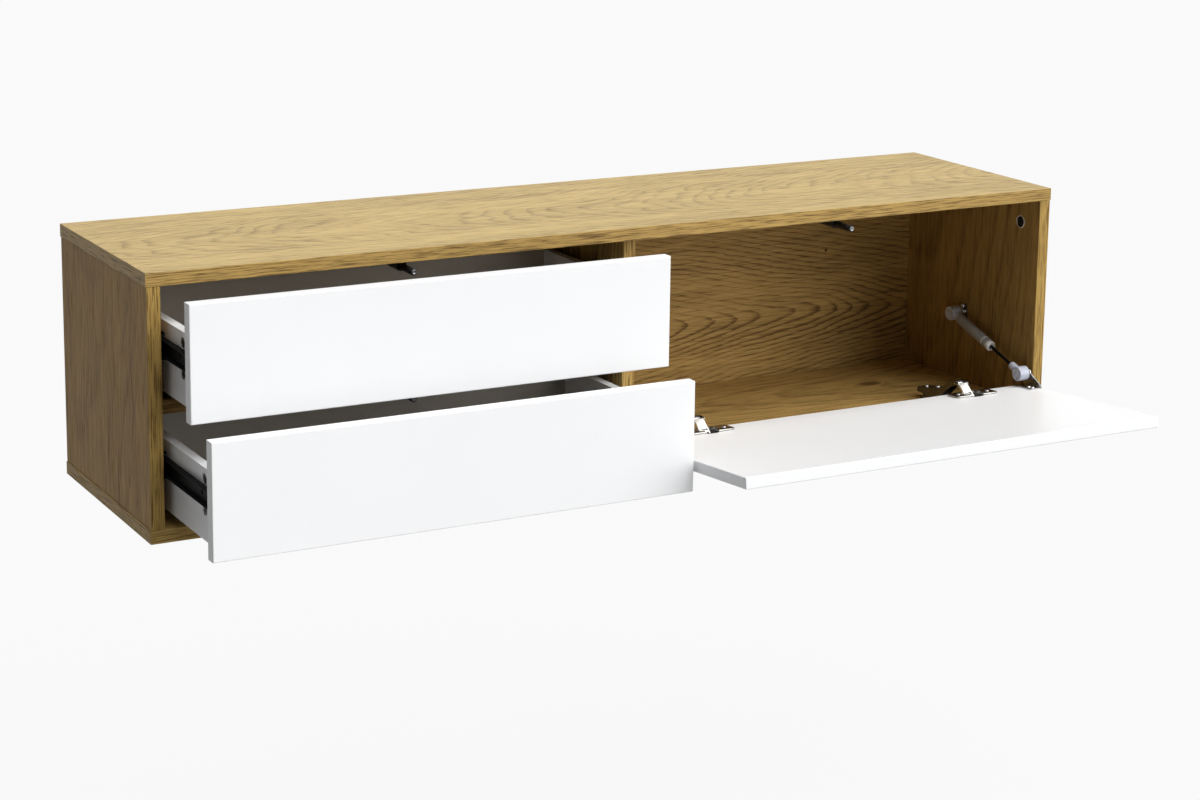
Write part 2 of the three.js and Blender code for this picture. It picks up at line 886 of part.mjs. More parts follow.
// Arms: a folded channel that rises from the mounting plate to the pins at its nose
const arm_sides = outline([
  [arm_rear, arm_rear_foot],
  [arm_rear, arm_rear_top],
  [arm_knee, arm_knee_top],
  [arm_bend, arm_bend_top],
  [arm_crank, arm_crank_top],
  [arm_nose, arm_nose_top],
  [inner_pin_y, inner_pin_z + nose_r],
  [inner_pin_y - nose_r / 2, inner_pin_z + nose_r * 0.8],
  [inner_pin_y - nose_r * 0.9, inner_pin_z],
  [inner_pin_y - nose_r / 2, inner_pin_z - nose_r * 0.8],
  [inner_pin_y, inner_pin_z - nose_r],
  [outer_pin_y, outer_pin_z - nose_r],
  [nose_heel, nose_heel_rise],
  [arm_heel, arm_rear_foot],
].reverse());
const arm_channel = outline([
  [arm_rear + cut_over, arm_rear_foot - cut_over],
  [arm_rear + cut_over, arm_rear_top - arm_web_drop],
  [arm_knee, arm_knee_top - arm_web_drop],
  [arm_bend, arm_bend_top - arm_web_drop],
  [arm_crank, arm_crank_top - arm_web_drop],
  [arm_nose, arm_nose_top - arm_web_drop],
  [arm_mouth, arm_nose_top - arm_web_drop],
  [arm_mouth, arm_nose_top + cut_over],
  [inner_pin_y - nose_r - cut_over, arm_nose_top + cut_over],
  [inner_pin_y - nose_r - cut_over, arm_rear_foot - cut_over],
].reverse());
const block_high = arm_knee_top - arm_web_drop - block_drop;
const block = outline([
  [block_front, board + plate_thickness / 2],
  [block_rear, board + plate_thickness / 2],
  [block_rear, arm_rear_top - arm_web_drop - block_drop],
  [arm_knee, block_high - seam],
  [block_front, block_high],
].reverse());
const arm_inner = arm_width / 2 - arm_metal;
for (const [hand, x] of hinge_places) {
  const pin_hole = (y, z) =>
    bar("x", x - arm_width, x + arm_width, y, z, pin_r + running);
  piece(
    cabinet,
    hand + "_hinge_arm",
    cut(
      slab(arm_sides, "x", x - arm_width / 2, x + arm_width / 2),
      slab(arm_channel, "x", x - arm_inner, x + arm_inner),
      pin_hole(outer_pin_y, outer_pin_z),
      pin_hole(inner_pin_y, inner_pin_z),
    ),
    NICKEL,
  );
  const plate_low = board + seam;
  const plate_high = board + plate_thickness;
  const plate = slab(
    roundedRect(x - plate_width / 2, x + plate_width / 2, plate_front, plate_rear, plate_corner),
    "z", plate_low, plate_high,
  );
  const wing = slab(
    roundedRect(
      x - wing_span / 2, x + wing_span / 2,
      wing_centre - wing_length / 2, wing_centre + wing_length / 2, plate_corner,
    ),
    "z", plate_low, plate_high,
  );
  const holes = [-1, 1].map((way) =>
    bar("z", plate_low - cut_over, plate_high + cut_over, x + way * wing_hole_reach, wing_centre, wing_hole_r),
  );
  const rise = slab(block, "x", x - arm_inner + seam, x + arm_inner - seam);
  piece(
    cabinet,
    hand + "_hinge_plate",
    cut(join(plate, wing, rise), ...holes),
    NICKEL,
  );
}

// Links between the arm's nose and the cup. Each swings about its pin in the nose. Its far end
// lies on the flap's circle at both ends of the swing, so its length follows from the two.
function linkPlace(pin_y, pin_z, swing_r) {
  const dy = pin_y - flap_axis_y;
  const dz = pin_z - flap_axis_z;
  const middle = Math.atan2(dz, dy);
  const end_y = flap_axis_y + swing_r * Math.cos(middle + flap_open / 2);
  const end_z = flap_axis_z + swing_r * Math.sin(middle + flap_open / 2);
  return {
    length: Math.hypot(end_y - pin_y, end_z - pin_z),
    angle: Math.atan2(end_z - pin_z, end_y - pin_y),
  };
}

// A strip with round ends, from the pin at 0 to the far end, drawn in (Y, Z).
function linkStrip(length, r) {
  const s = new THREE.Shape();
  s.moveTo(0, -r);
  s.lineTo(length, -r);
  s.absarc(length, 0, r, -Math.PI / 2, Math.PI / 2, false);
  s.lineTo(0, r);
  s.absarc(0, 0, r, Math.PI / 2, Math.PI * 1.5, false);
  return s;
}

const outer_link = linkPlace(outer_pin_y, outer_pin_z, outer_swing_r);
const inner_link = linkPlace(inner_pin_y, inner_pin_z, inner_swing_r);
for (const [hand, x] of hinge_places) {
  const outer = new THREE.Group();
  outer.position.set(x, outer_pin_y, outer_pin_z);
  outer.rotation.x = outer_link.angle;
  cabinet.add(outer);
  const half_rear = rear_link_width / 2;
  const flat = box(
    -half_rear, half_rear, 0, outer_link.length, link_eye_r - link_metal, link_eye_r,
  );
  const eye = bar("x", -half_rear, half_rear, 0, 0, link_eye_r);
  const far_eye = bar("x", -half_rear, half_rear, outer_link.length, 0, link_eye_r);
  const outer_pin = bar("x", -arm_width / 2, arm_width / 2, 0, 0, pin_r);
  piece(outer, hand + "_outer_link", join(flat, eye, far_eye, outer_pin), NICKEL);

  const inner = new THREE.Group();
  inner.position.set(x, inner_pin_y, inner_pin_z);
  inner.rotation.x = inner_link.angle;
  cabinet.add(inner);
  const half_front = front_link_width / 2;
  const strip = linkStrip(inner_link.length, link_eye_r);
  const cheek_a = slab(strip, "x", -half_front, -half_front + link_metal);
  const cheek_b = slab(strip, "x", half_front - link_metal, half_front);
  const web = box(-half_front, half_front, 0, link_web_reach, -link_eye_r, link_metal - link_eye_r);
  const inner_pin = bar("x", -arm_width / 2, arm_width / 2, 0, 0, pin_r);
  piece(inner, hand + "_inner_link", join(cheek_a, cheek_b, web, inner_pin), NICKEL);
}

// Damper strut, from the right side to the bracket on the flap
const strut_x = flap_right - strut_inset;
const foot_y = flap_face_y + strut_foot_h;
const foot_z = flap_foot_z + strut_foot_u;
const foot_open_y = flap_axis_y + foot_y * Math.cos(flap_open) - foot_z * Math.sin(flap_open);
const foot_open_z = flap_axis_z + foot_y * Math.sin(flap_open) + foot_z * Math.cos(flap_open);
const strut_length = Math.hypot(foot_open_y - strut_y, foot_open_z - strut_z);
const strut = new THREE.Group();
strut.position.set(strut_x, strut_y, strut_z);
strut.rotation.x = Math.atan2(foot_open_z - strut_z, foot_open_y - strut_y);
cabinet.add(strut);

// An end fitting: a short drum across the strut, dished at both faces, with a neck along it.
function endFitting(neck_from, neck_to, radius) {
  const half = fitting_length / 2;
  const drum = turned(
    [
      [0, -half + fitting_recess],
      [fitting_recess_r, -half + fitting_recess],
      [fitting_recess_r, -half],
      [fitting_r - fitting_round, -half],
      [fitting_r, -half + fitting_round],
      [fitting_r, half - fitting_round],
      [fitting_r - fitting_round, half],
      [fitting_recess_r, half],
      [fitting_recess_r, half - fitting_recess],
      [0, half - fitting_recess],
    ],
    "x",
  );
  return join(drum, bar("y", neck_from, neck_to, 0, 0, radius, turn_sides));
}

const stud_end = fitting_length / 2 - stud_grip;
piece(
  strut,
  "strut_upper_fitting",
  cut(
    endFitting(0, upper_neck, neck_r),
    bar("x", stud_end - seam, fitting_length / 2 + cut_over, 0, 0, stud_r + running, turn_sides),
  ),
  FITTING_GREY,
);
const barrel_start = upper_neck + seam;
const cap_start = barrel_end - barrel_cap;
const bore_r = rod_r + running;
piece(
  strut,
  "strut_barrel",
  turned(
    [
      [0, barrel_start],
      [barrel_r, barrel_start],
      [barrel_r, barrel_groove],
      [barrel_r - barrel_groove_depth, barrel_groove],
      [barrel_r - barrel_groove_depth, barrel_groove + barrel_groove_width],
      [barrel_r, barrel_groove + barrel_groove_width],
      [barrel_r, cap_start],
      [barrel_cap_r, cap_start],
      [barrel_cap_r, barrel_end],
      [bore_r, barrel_end],
      [bore_r, barrel_floor],
      [0, barrel_floor],
    ],
    "y",
  ),
  DAMPER_GREY,
);
const rod_end = strut_length - lower_neck + rod_seat;
piece(strut, "strut_rod", bar("y", rod_start, rod_end - seam, 0, 0, rod_r), SLIDE_BLACK);
const lower_fitting = endFitting(-lower_neck, 0, lower_neck_r);
lower_fitting.translate(0, strut_length, 0);
piece(
  strut,
  "strut_lower_fitting",
  cut(
    lower_fitting,
    bar("y", strut_length - lower_neck - cut_over, rod_end, 0, 0, rod_r + seam),
  ),
  FITTING_GREY,
);

// Bracket on the right side, with the stud that the upper fitting turns on
const side_plate_x = side_inner_right - seam - bracket_metal;
const fitting_face = strut_x + fitting_length / 2;
const half_bracket = side_bracket_width / 2;
const half_rise = side_bracket_height / 2;
const side_plate = slab(
  roundedRect(
    strut_y - half_bracket, strut_y + half_bracket,
    strut_z - half_rise, strut_z + half_rise, side_bracket_corner,
  ),
  "x", side_plate_x, side_inner_right - seam,
);
const collar = bar(
  "x", fitting_face + link_gap, side_inner_right - seam - bracket_metal / 2,
  strut_y, strut_z, stud_collar_r, turn_sides,
);
const stud = bar(
  "x", strut_x + stud_end, side_inner_right - seam - bracket_metal / 2, strut_y, strut_z, stud_r, turn_sides,
);
const side_screws = [-1, 1].map((way) =>
  bar(
    "x", side_plate_x - cut_over, side_inner_right, strut_y,
    strut_z + way * side_bracket_screw_reach, side_bracket_screw_r,
  ),
);
piece(
  cabinet,
  "strut_side_bracket",
  cut(join(side_plate, collar, stud), ...side_screws),
  NICKEL,
);

// Bracket on the flap: a foot on its inner face and an upright beside the lower fitting
const upright_x1 = strut_x + fitting_length / 2 + boss_gap + upright_gap;
const upright_x0 = upright_x1 - bracket_metal;
const bracket_seat = flap_face_y + seam;
const bracket_foot = flap_foot_z + flap_bracket_start;
const foot_plate = box(
  upright_x1 - flap_bracket_width, upright_x1, bracket_seat, bracket_seat + bracket_metal,
  bracket_foot, bracket_foot + flap_bracket_length,
);
const head = new THREE.Shape();
head.moveTo(bracket_seat, bracket_foot);
head.lineTo(foot_y, foot_z - flap_bracket_head_r);
head.absarc(foot_y, foot_z, flap_bracket_head_r, -Math.PI / 2, Math.PI / 2, false);
head.lineTo(bracket_seat + bracket_metal + flap_bracket_heel, bracket_foot + flap_bracket_length);
head.lineTo(bracket_seat, bracket_foot + flap_bracket_length);
head.closePath();
const upright = slab(head, "x", upright_x0, upright_x1);
const boss = bar(
  "x", fitting_face + boss_gap, upright_x1 - bracket_metal / 2, foot_y, foot_z, boss_r, turn_sides,
);
const foot_screws = [
  foot_z + fitting_r + flap_bracket_screw_r + flap_bracket_heel,
  bracket_foot + flap_bracket_length - flap_bracket_screw_inset,
].map((z) =>
  bar(
    "y", bracket_seat - cut_over, bracket_seat + bracket_metal + cut_over, z,
    upright_x1 - flap_bracket_width / 2 - bracket_metal, flap_bracket_screw_r,
  ),
);
piece(
  flap,
  "strut_flap_bracket",
  cut(join(foot_plate, upright, boss), ...foot_screws),
  NICKEL,
);

export default console_group;
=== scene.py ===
"""Floating media console: oak-veneered carcass, white drawer fronts and flap, black ball slides,
push latches, concealed hinges and a damper strut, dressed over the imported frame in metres."""

import json
import math

import bmesh
import bpy
from mathutils import Matrix, Vector

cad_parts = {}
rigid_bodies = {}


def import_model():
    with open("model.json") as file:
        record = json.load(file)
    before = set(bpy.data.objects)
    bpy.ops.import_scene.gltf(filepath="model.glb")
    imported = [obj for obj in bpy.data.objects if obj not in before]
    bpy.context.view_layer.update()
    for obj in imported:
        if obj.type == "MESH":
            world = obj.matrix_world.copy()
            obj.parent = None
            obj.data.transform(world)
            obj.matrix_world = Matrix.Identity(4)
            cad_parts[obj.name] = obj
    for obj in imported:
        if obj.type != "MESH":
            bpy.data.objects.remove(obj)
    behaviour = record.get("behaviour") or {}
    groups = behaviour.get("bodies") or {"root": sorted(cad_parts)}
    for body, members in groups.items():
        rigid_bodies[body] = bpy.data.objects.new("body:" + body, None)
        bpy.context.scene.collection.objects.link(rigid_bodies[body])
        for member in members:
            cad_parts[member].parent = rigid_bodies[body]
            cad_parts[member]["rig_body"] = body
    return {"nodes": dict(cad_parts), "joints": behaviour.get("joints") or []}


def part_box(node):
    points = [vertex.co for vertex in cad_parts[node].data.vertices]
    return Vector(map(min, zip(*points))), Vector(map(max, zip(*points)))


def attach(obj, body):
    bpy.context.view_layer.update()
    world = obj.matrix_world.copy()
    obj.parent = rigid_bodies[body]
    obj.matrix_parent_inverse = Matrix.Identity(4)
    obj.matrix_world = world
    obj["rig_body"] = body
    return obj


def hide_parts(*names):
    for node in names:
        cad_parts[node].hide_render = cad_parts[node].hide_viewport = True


bl_info = {
    "name": "Floating media console",
    "version": (1, 0, 0),
    "blender": (4, 5, 0),
    "location": "3D View > Sidebar > Console",
    "description": "Finishes, hardware and stage of a wall-hung media console",
    "category": "Object",
}

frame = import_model()
NODES = frame["nodes"]
JOINTS = {joint["name"]: joint for joint in frame["joints"]}
LEVELS = ("upper", "lower")
INWARD = Vector((0, 1, 0))
UPWARD = Vector((0, 0, 1))

# The line that the flap turns about, how far it is lowered, and where its panel's hinged edge
# and inner face lie from that line
FLAP_LINE = Vector(JOINTS["flap_hinge"]["pos_m"])
FLAP_TILT = math.radians(-JOINTS["flap_hinge"]["range_deg"][0])
FLAP_FOOT = -0.01285
FLAP_INNER = 0.01526
FLAP_UP = Vector((0, math.cos(FLAP_TILT), math.sin(FLAP_TILT)))


def on_flap(x, along, above):
    """A place on the open flap: along it from its hinged edge, and above its inner face."""
    y = FLAP_INNER + above
    z = FLAP_FOOT + along
    cos, sin = math.cos(FLAP_TILT), math.sin(FLAP_TILT)
    return FLAP_LINE + Vector((x, y * cos - z * sin, y * sin + z * cos))


# The strut's pivots, on the right side's bracket and on the flap's, and the way between them
STRUT_TOP = Vector(JOINTS["strut_swing"]["pos_m"])
STRUT_FOOT = on_flap(STRUT_TOP.x, 0.013, 0.020)
STRUT_ALONG = (STRUT_FOOT - STRUT_TOP).normalized()
STRUT_SPAN = (STRUT_FOOT - STRUT_TOP).length


def centre(node):
    """The middle of a CAD node."""
    low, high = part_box(node)
    return (low + high) / 2


def side_x(node, way):
    """Where a CAD node ends to the right, with way 1, or to the left, with way -1."""
    low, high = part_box(node)
    return high.x if way > 0 else low.x


# Settings that a user would change


def colour(name, description, default):
    """A setting that holds a colour."""
    return bpy.props.FloatVectorProperty(
        name=name, description=description, default=default, subtype="COLOR", size=3, min=0, max=1
    )


def length(name, description, default):
    """A setting that holds a length in metres."""
    return bpy.props.FloatProperty(
        name=name, description=description, default=default, unit="LENGTH", min=0, precision=5
    )


def share(name, description, default):
    """A setting that holds a number from 0 to 1."""
    return bpy.props.FloatProperty(name=name, description=description, default=default, min=0, max=1)


def strength(name, description, default):
    """A setting that holds the strength of a light."""
    return bpy.props.FloatProperty(name=name, description=description, default=default, min=0)


class ConsoleWood(bpy.types.PropertyGroup):
    """Oak veneer and the raw board behind the cabinet."""

    light: colour("Early wood", "Pale wood between the growth rings", (0.508, 0.351, 0.120))
    dark: colour("Late wood", "Dark lines of the growth rings", (0.140, 0.083, 0.026))
    ring: length("Ring spacing", "Distance between growth rings", 0.0076)
    pores: share("Pores", "How dark the open pores are", 0.50)
    sheen: share("Roughness", "Roughness of the lacquered veneer", 0.50)
    raw: colour("Raw board", "Colour of the uncoated cleats", (0.34, 0.24, 0.13))


class ConsoleLacquer(bpy.types.PropertyGroup):
    """White lacquer of the fronts, the flap and the drawer boxes."""

    white: colour("White", "Colour of the lacquer", (0.893, 0.90, 0.908))
    gloss: share("Roughness", "Roughness of the lacquer", 0.36)
    peel: length("Orange peel", "Height of the lacquer's fine waves", 0.000012)


class ConsoleHardware(bpy.types.PropertyGroup):
    """Metal and plastic fittings."""

    nickel: colour("Nickel", "Plating of the hinges' links", (0.84, 0.83, 0.80))
    # This nickel is darker than the plating's own colour: painted shade for the dark cabinet that
    # these parts reflect
    shadow: colour("Dark nickel", "Plating of cups, arms, plates and brackets", (0.34, 0.33, 0.315))
    steel: colour("Zinc", "Plating of screws, cages, balls and tips", (0.56, 0.57, 0.59))
    black: colour("Black", "Coated slides and plastic latches", (0.006, 0.006, 0.006))
    barrel: colour("Barrel", "Painted barrel of the strut", (0.29, 0.285, 0.29))
    fitting: colour("Strut ends", "Moulded ends of the strut", (0.44, 0.46, 0.54))
    edge: length("Edge", "Rounding of stamped edges", 0.00022)
    head_radius: length("Screw radius", "Radius of the hinge screws' heads", 0.0031)
    head_height: length("Screw height", "Height of the hinge screws' heads", 0.0012)


class ConsoleStage(bpy.types.PropertyGroup):
    """Floor, light and camera."""

    drop: length("Floor drop", "Floor below the cabinet", 0.55)
    above: strength("Overhead light", "Strength of the soft light from above", 2.55)
    front: strength("Front light", "Strength of the soft light from the front right", 2.5)
    fill: share("Ambient", "Strength of the light from all round", 0.05)


SETTINGS = {
    "console_wood": ConsoleWood,
    "console_lacquer": ConsoleLacquer,
    "console_hardware": ConsoleHardware,
    "console_stage": ConsoleStage,
}


# Shader building

# A Mix node's colour sockets share their names with its other ones, so they go by number
MIX_INPUTS = (0, 6, 7)
MIX_RESULT = 2


class Wire:
    """A socket that arithmetic builds Math nodes on."""

    def __init__(self, nodes, socket):
        self.nodes, self.socket = nodes, socket

    def math(self, operation, *values):
        return self.nodes.node("ShaderNodeMath", {"operation": operation}, dict(enumerate(values)))

    def __add__(self, other):
        return self.math("ADD", self, other)

    def __radd__(self, other):
        return self.math("ADD", other, self)

    def __sub__(self, other):
        return self.math("SUBTRACT", self, other)

    def __rsub__(self, other):
        return self.math("SUBTRACT", other, self)

    def __mul__(self, other):
        return self.math("MULTIPLY", self, other)

    def __rmul__(self, other):
        return self.math("MULTIPLY", other, self)

    def __truediv__(self, other):
        return self.math("DIVIDE", self, other)

    def __rtruediv__(self, other):
        return self.math("DIVIDE", other, self)

    def __abs__(self):
        return self.math("ABSOLUTE", self)

    def above(self, edge):
        """1 where the value is above the edge, 0 elsewhere."""
        return self.math("GREATER_THAN", self, edge)

    def at_least(self, low):
        return self.math("MAXIMUM", self, low)

    def root(self):
        return self.math("SQRT", self)

    def fraction(self):
        return self.math("FRACT", self)

    def clamped(self):
        return self.math("MINIMUM", self.at_least(0.0), 1.0)

    def between(self, low, high):
        """0 below low, 1 above high, smooth in between."""
        return self.nodes.node(
            "ShaderNodeMapRange",
            {"interpolation_type": "SMOOTHSTEP"},
            {"Value": self, "From Min": low, "From Max": high},
        )


class Nodes:
    """A tree of shader nodes."""

    def __init__(self, owner):
        owner.use_nodes = True
        self.tree = owner.node_tree
        self.tree.nodes.clear()

    def node(self, kind, settings=None, values=None, output=0):
        """Any node: its type, its settings, what its sockets hold, and the output that is used."""
        node = self.tree.nodes.new(kind)
        for key, value in (settings or {}).items():
            if key == "stops":
                self._stops(node.color_ramp, value)
            else:
                setattr(node, key, value)
        for key, value in (values or {}).items():
            self._feed(node.inputs[key], value)
        return Wire(self, node.outputs[output]) if node.outputs else None

    def _stops(self, ramp, stops):
        while len(ramp.elements) < len(stops):
            ramp.elements.new(0.5)
        for element, (place, level) in zip(ramp.elements, stops):
            element.position = place
            element.color = (level, level, level, 1)

    def _feed(self, socket, value):
        if isinstance(value, Wire):
            self.tree.links.new(value.socket, socket)
        elif socket.type == "RGBA":
            socket.default_value = (*value, 1)
        else:
            socket.default_value = value


class Finish(Nodes):
    """One material, its shader and the coordinates of the piece."""

    def __init__(self, name, **fixed):
        self.material = bpy.data.materials.new(name)
        super().__init__(self.material)
        shader = self.node("ShaderNodeBsdfPrincipled")
        self.node("ShaderNodeOutputMaterial", values={"Surface": shader})
        self.shader = shader.socket.node
        self.place = self.node("ShaderNodeTexCoord", output="Object")
        for socket, value in fixed.items():
            self.set(socket.replace("_", " "), value)

    def set(self, socket, value):
        self._feed(self.shader.inputs[socket], value)

    def axes(self, vector=None):
        """The three parts of a vector, or else of the place on the piece."""
        split = self.node("ShaderNodeSeparateXYZ", values={"Vector": vector or self.place}).socket.node
        return [Wire(self, output) for output in split.outputs]

    def vector(self, x, y, z):
        return self.node("ShaderNodeCombineXYZ", values={"X": x, "Y": y, "Z": z})

    def noise(self, vector, scale=1.0, detail=2.0, rough=0.5):
        return self.node(
            "ShaderNodeTexNoise",
            values={"Vector": vector, "Scale": scale, "Detail": detail, "Roughness": rough},
        )

    def mix(self, factor, a, b):
        """A colour between a and b."""
        inputs = dict(zip(MIX_INPUTS, (factor, a, b)))
        return self.node("ShaderNodeMix", {"data_type": "RGBA"}, inputs, MIX_RESULT)

    def bump(self, height, distance, strength=1.0):
        self.set(
            "Normal",
            self.node(
                "ShaderNodeBump",
                values={"Height": height, "Distance": distance, "Strength": strength},
                output="Normal",
            ),
        )


def shade_of(rgb, factor):
    """A colour made lighter or darker, by one factor or by one for each channel."""
    factors = factor if isinstance(factor, tuple) else (factor,) * 3
    return tuple(min(1.0, c * f) for c, f in zip(rgb, factors))


# The tone of the veneer's narrow edges, against the settings' colours
EDGE_TONE = (0.89, 0.83, 0.72)

# Half the knot's length and width, how far it pushes the rings aside, and how dark it is
KNOT_LENGTH = 0.021
KNOT_WIDTH = 0.010
KNOT_PULL = 0.024
KNOT_DARK = 1.1

# How far the log's middle wanders, how ragged a ring's line is, and how dark a ring is across
# its run, from one year's end to the next
LOG_WANDER = 0.03
RING_JAG = 0.0026
RING_SHADES = ((0.0, 0.30), (0.08, 0.06), (0.60, 0.10), (0.84, 0.60), (0.96, 1.0), (1.0, 0.30))

# A board's face is what looks along its thickness by more than this, and the rest is edge,
# where the rings' lines are this faint
FACE_LEAN = 0.7
EDGE_LINES = 0.12

# The axes of a veneer's pattern
ALONG, ACROSS, THROUGH = range(3)


def oak(
    name, grain, across, heart, depth, taper, lines, waver, painted_light_tone, ior, ends, edge=EDGE_TONE, knot=None
):
    """Oak veneer. Growth rings are cones about a log whose middle runs along the grain at
    the place heart across the board and the given depth below it, so that the cut shows
    nested arches there and straight lines beside them. The rings bend round a knot.
    Taper is how fast the cones narrow, lines how strong the rings are on the board's face
    and waver how far they sway. End grain begins at ends, either way from the middle."""
    wood = bpy.context.scene.console_wood
    finish = Finish(name, IOR=ior)
    axes = dict(zip("XYZ", finish.axes()))
    rest = next(axis for axis in "XYZ" if axis not in (grain, across))
    u, v, w = axes[grain], axes[across], axes[rest]
    outward = dict(zip("XYZ", finish.axes(finish.node("ShaderNodeTexCoord", output="Normal"))))
    face = abs(outward[rest]).above(FACE_LEAN)
    if ends is not None:
        end = abs(u).above(ends)
        u, v = u + end * (v - u), v + end * (u - v)
    shift = heart * 7.3 + depth * 31.0

    def pattern(along_grain, across_grain, moved, detail, rough=0.5):
        """Noise with one fineness along the grain and one across it, moved on one axis by an
        amount of the board's own, so that no two boards look alike."""
        parts = [u * along_grain, v * across_grain, w * across_grain]
        parts[moved] = parts[moved] + shift
        return finish.noise(finish.vector(*parts), detail=detail, rough=rough)

    slow = finish.noise(finish.vector(u * 1.7 + shift, v * 3.0, shift), detail=1.0)
    sway = pattern(6.0, 14.0, ALONG, 2.0)
    jag = pattern(30.0, 420.0, ACROSS, 2.0)
    wander = (slow - 0.5) * LOG_WANDER
    side = v - heart + wander
    deep = depth + wander + w
    radius = (side * side + deep * deep).root()
    if knot is not None:
        along_knot = (u - knot[0]) / KNOT_LENGTH
        over_knot = (v - knot[1]) / KNOT_WIDTH
        from_knot = along_knot * along_knot + over_knot * over_knot
        radius = radius + KNOT_PULL / (from_knot + 1.0)
    count = (radius - u * taper + (sway - 0.5) * waver + (jag - 0.5) * RING_JAG) / wood.ring
    ring = finish.node("ShaderNodeValToRGB", {"stops": RING_SHADES}, {"Fac": count.fraction()})
    middle = abs(depth) / radius.at_least(abs(depth))
    patch = pattern(2.4, 18.0, ACROSS, 3.0)
    smudge = pattern(6.0, 34.0, ALONG, 2.0).between(0.60, 0.78)
    streak = pattern(9.0, 250.0, THROUGH, 6.0, 0.72)
    fibre = pattern(20.0, 560.0, THROUGH, 3.0, 0.6)
    band = pattern(7.0, 75.0, ALONG, 3.0)
    dash = pattern(26.0, 520.0, ACROSS, 2.0).between(0.53, 0.67)
    strong = face * (lines - EDGE_LINES) + EDGE_LINES
    # Each mark has its own weight, which differs between the face and the edges
    dark = (
        ring * patch.between(0.22, 0.58) * strong * (middle * 0.75 + 0.45)
        + (streak - 0.5) * (1.2 + face * 0.3)
        + (band - 0.5) * face * 0.55
        + (fibre - 0.5) * (4.6 - face * 3.1)
        + dash * (ring * 0.4 + 0.75 - face * 0.25) * wood.pores
        + smudge * face * 0.16
        + (patch - 0.5) * (face * 0.20 + 0.10)
        + 0.20
    )
    if knot is not None:
        dark = dark + (1.3 - from_knot).clamped() * KNOT_DARK
    dark = dark.clamped()
    # On the narrow faces the edge tone is the veneer's own, except on the rail, where it is darkened
    # as painted shade
    on_edge = finish.mix(dark, shade_of(wood.light, edge), shade_of(wood.dark, edge))
    # On the faces the board's tone paints in the light or shade that falls there
    on_face = finish.mix(dark, shade_of(wood.light, painted_light_tone), shade_of(wood.dark, painted_light_tone))
    finish.set("Base Color", finish.mix(face, on_edge, on_face))
    finish.set("Roughness", streak * 0.16 + dash * 0.12 + (wood.sheen - 0.08))
    finish.bump(streak * 0.5 + ring * 0.2 - dash, 0.00008, 0.55)
    return finish.material


def lacquer(name, grime=0.0, rgb=None):
    """Sprayed lacquer with fine orange peel and faint handling marks."""
    spray = bpy.context.scene.console_lacquer
    rgb = rgb or tuple(spray.white)
    finish = Finish(name, IOR=1.47)
    peel = finish.noise(finish.place, 900.0, 3.0)
    cloud = finish.noise(finish.place, 9.0, 3.0)
    marks = finish.noise(finish.place, 60.0, 4.0).between(0.58, 0.75)
    tint = cloud.between(0.3, 0.75) * (0.35 + grime)
    finish.set("Base Color", finish.mix(tint, rgb, shade_of(rgb, 0.965)))
    finish.set("Roughness", cloud * 0.06 + marks * 0.05 + (spray.gloss - 0.03))
    finish.bump(peel, spray.peel, 1.0)
    return finish.material


def raw_board(name):
    """Uncoated particle board: pressed chips, paler and darker, with open gaps."""
    wood = bpy.context.scene.console_wood
    finish = Finish(name, Roughness=0.85)
    x, y, z = finish.axes()
    chips = finish.noise(finish.vector(x * 160.0, y * 420.0, z * 420.0), detail=4.0, rough=0.7)
    dust = finish.noise(finish.place, 1500.0, 2.0)
    gaps = finish.noise(finish.vector(x * 260.0, y * 700.0, z * 700.0), detail=2.0).between(0.62, 0.72)
    pale = finish.mix(chips.between(0.35, 0.7), shade_of(wood.raw, 0.72), shade_of(wood.raw, 1.35))
    finish.set("Base Color", finish.mix(gaps * 0.75, pale, shade_of(wood.raw, 0.35)))
    finish.bump(chips + dust * 0.3 - gaps, 0.0002, 0.6)
    return finish.material


# Colours of finishes that are no setting
RUBBED_BLACK = (0.035, 0.035, 0.036)
# The strut's pale cap: its own white, with a bluish tint and brightness that paint in the studio's
# reflection
CAP_WHITE_AND_REFLECTION = (0.86, 0.90, 0.96)
# Cream of the ring round the carcass cams: a painted highlight for light catching their edge
RIM_HIGHLIGHT_CREAM = (0.80, 0.77, 0.70)
# Warm grey of the drawers' backs and bottoms: painted shade for white boards deep in the cabinet
PAINTED_SHADE_GREY = (0.42, 0.385, 0.34)


def hardware():
    """The settings of the metal and plastic fittings."""
    return bpy.context.scene.console_hardware


def coated_steel(name):
    """Black coated steel, rubbed a little paler in long marks where the slides run."""
    finish = Finish(name, IOR=1.1)
    x, y, z = finish.axes()
    rub = finish.noise(finish.vector(x * 900.0, y * 9.0, z * 900.0), detail=3.0)
    grain = finish.noise(finish.place, 2600.0, 2.0)
    worn = rub.between(0.58, 0.78)
    finish.set("Base Color", finish.mix(worn * 0.25, hardware().black, RUBBED_BLACK))
    finish.set("Metallic", worn * 0.10)
    finish.set("Roughness", grain * 0.12 + rub * 0.12 + 0.34)
    finish.bump(grain, 0.000015, 0.6)
    return finish.material


def moulded(name, rgb, rough, ior=1.49):
    """Moulded plastic with a fine eroded grain and cloudy gloss."""
    finish = Finish(name, IOR=ior)
    grain = finish.noise(finish.place, 3200.0, 2.0)
    cloud = finish.noise(finish.place, 140.0, 3.0)
    tint = cloud.between(0.35, 0.7)
    finish.set("Base Color", finish.mix(tint, shade_of(rgb, 0.86), shade_of(rgb, 1.12)))
    finish.set("Roughness", cloud * 0.14 + (rough - 0.07))
    finish.bump(grain, 0.00002, 0.5)
    return finish.material


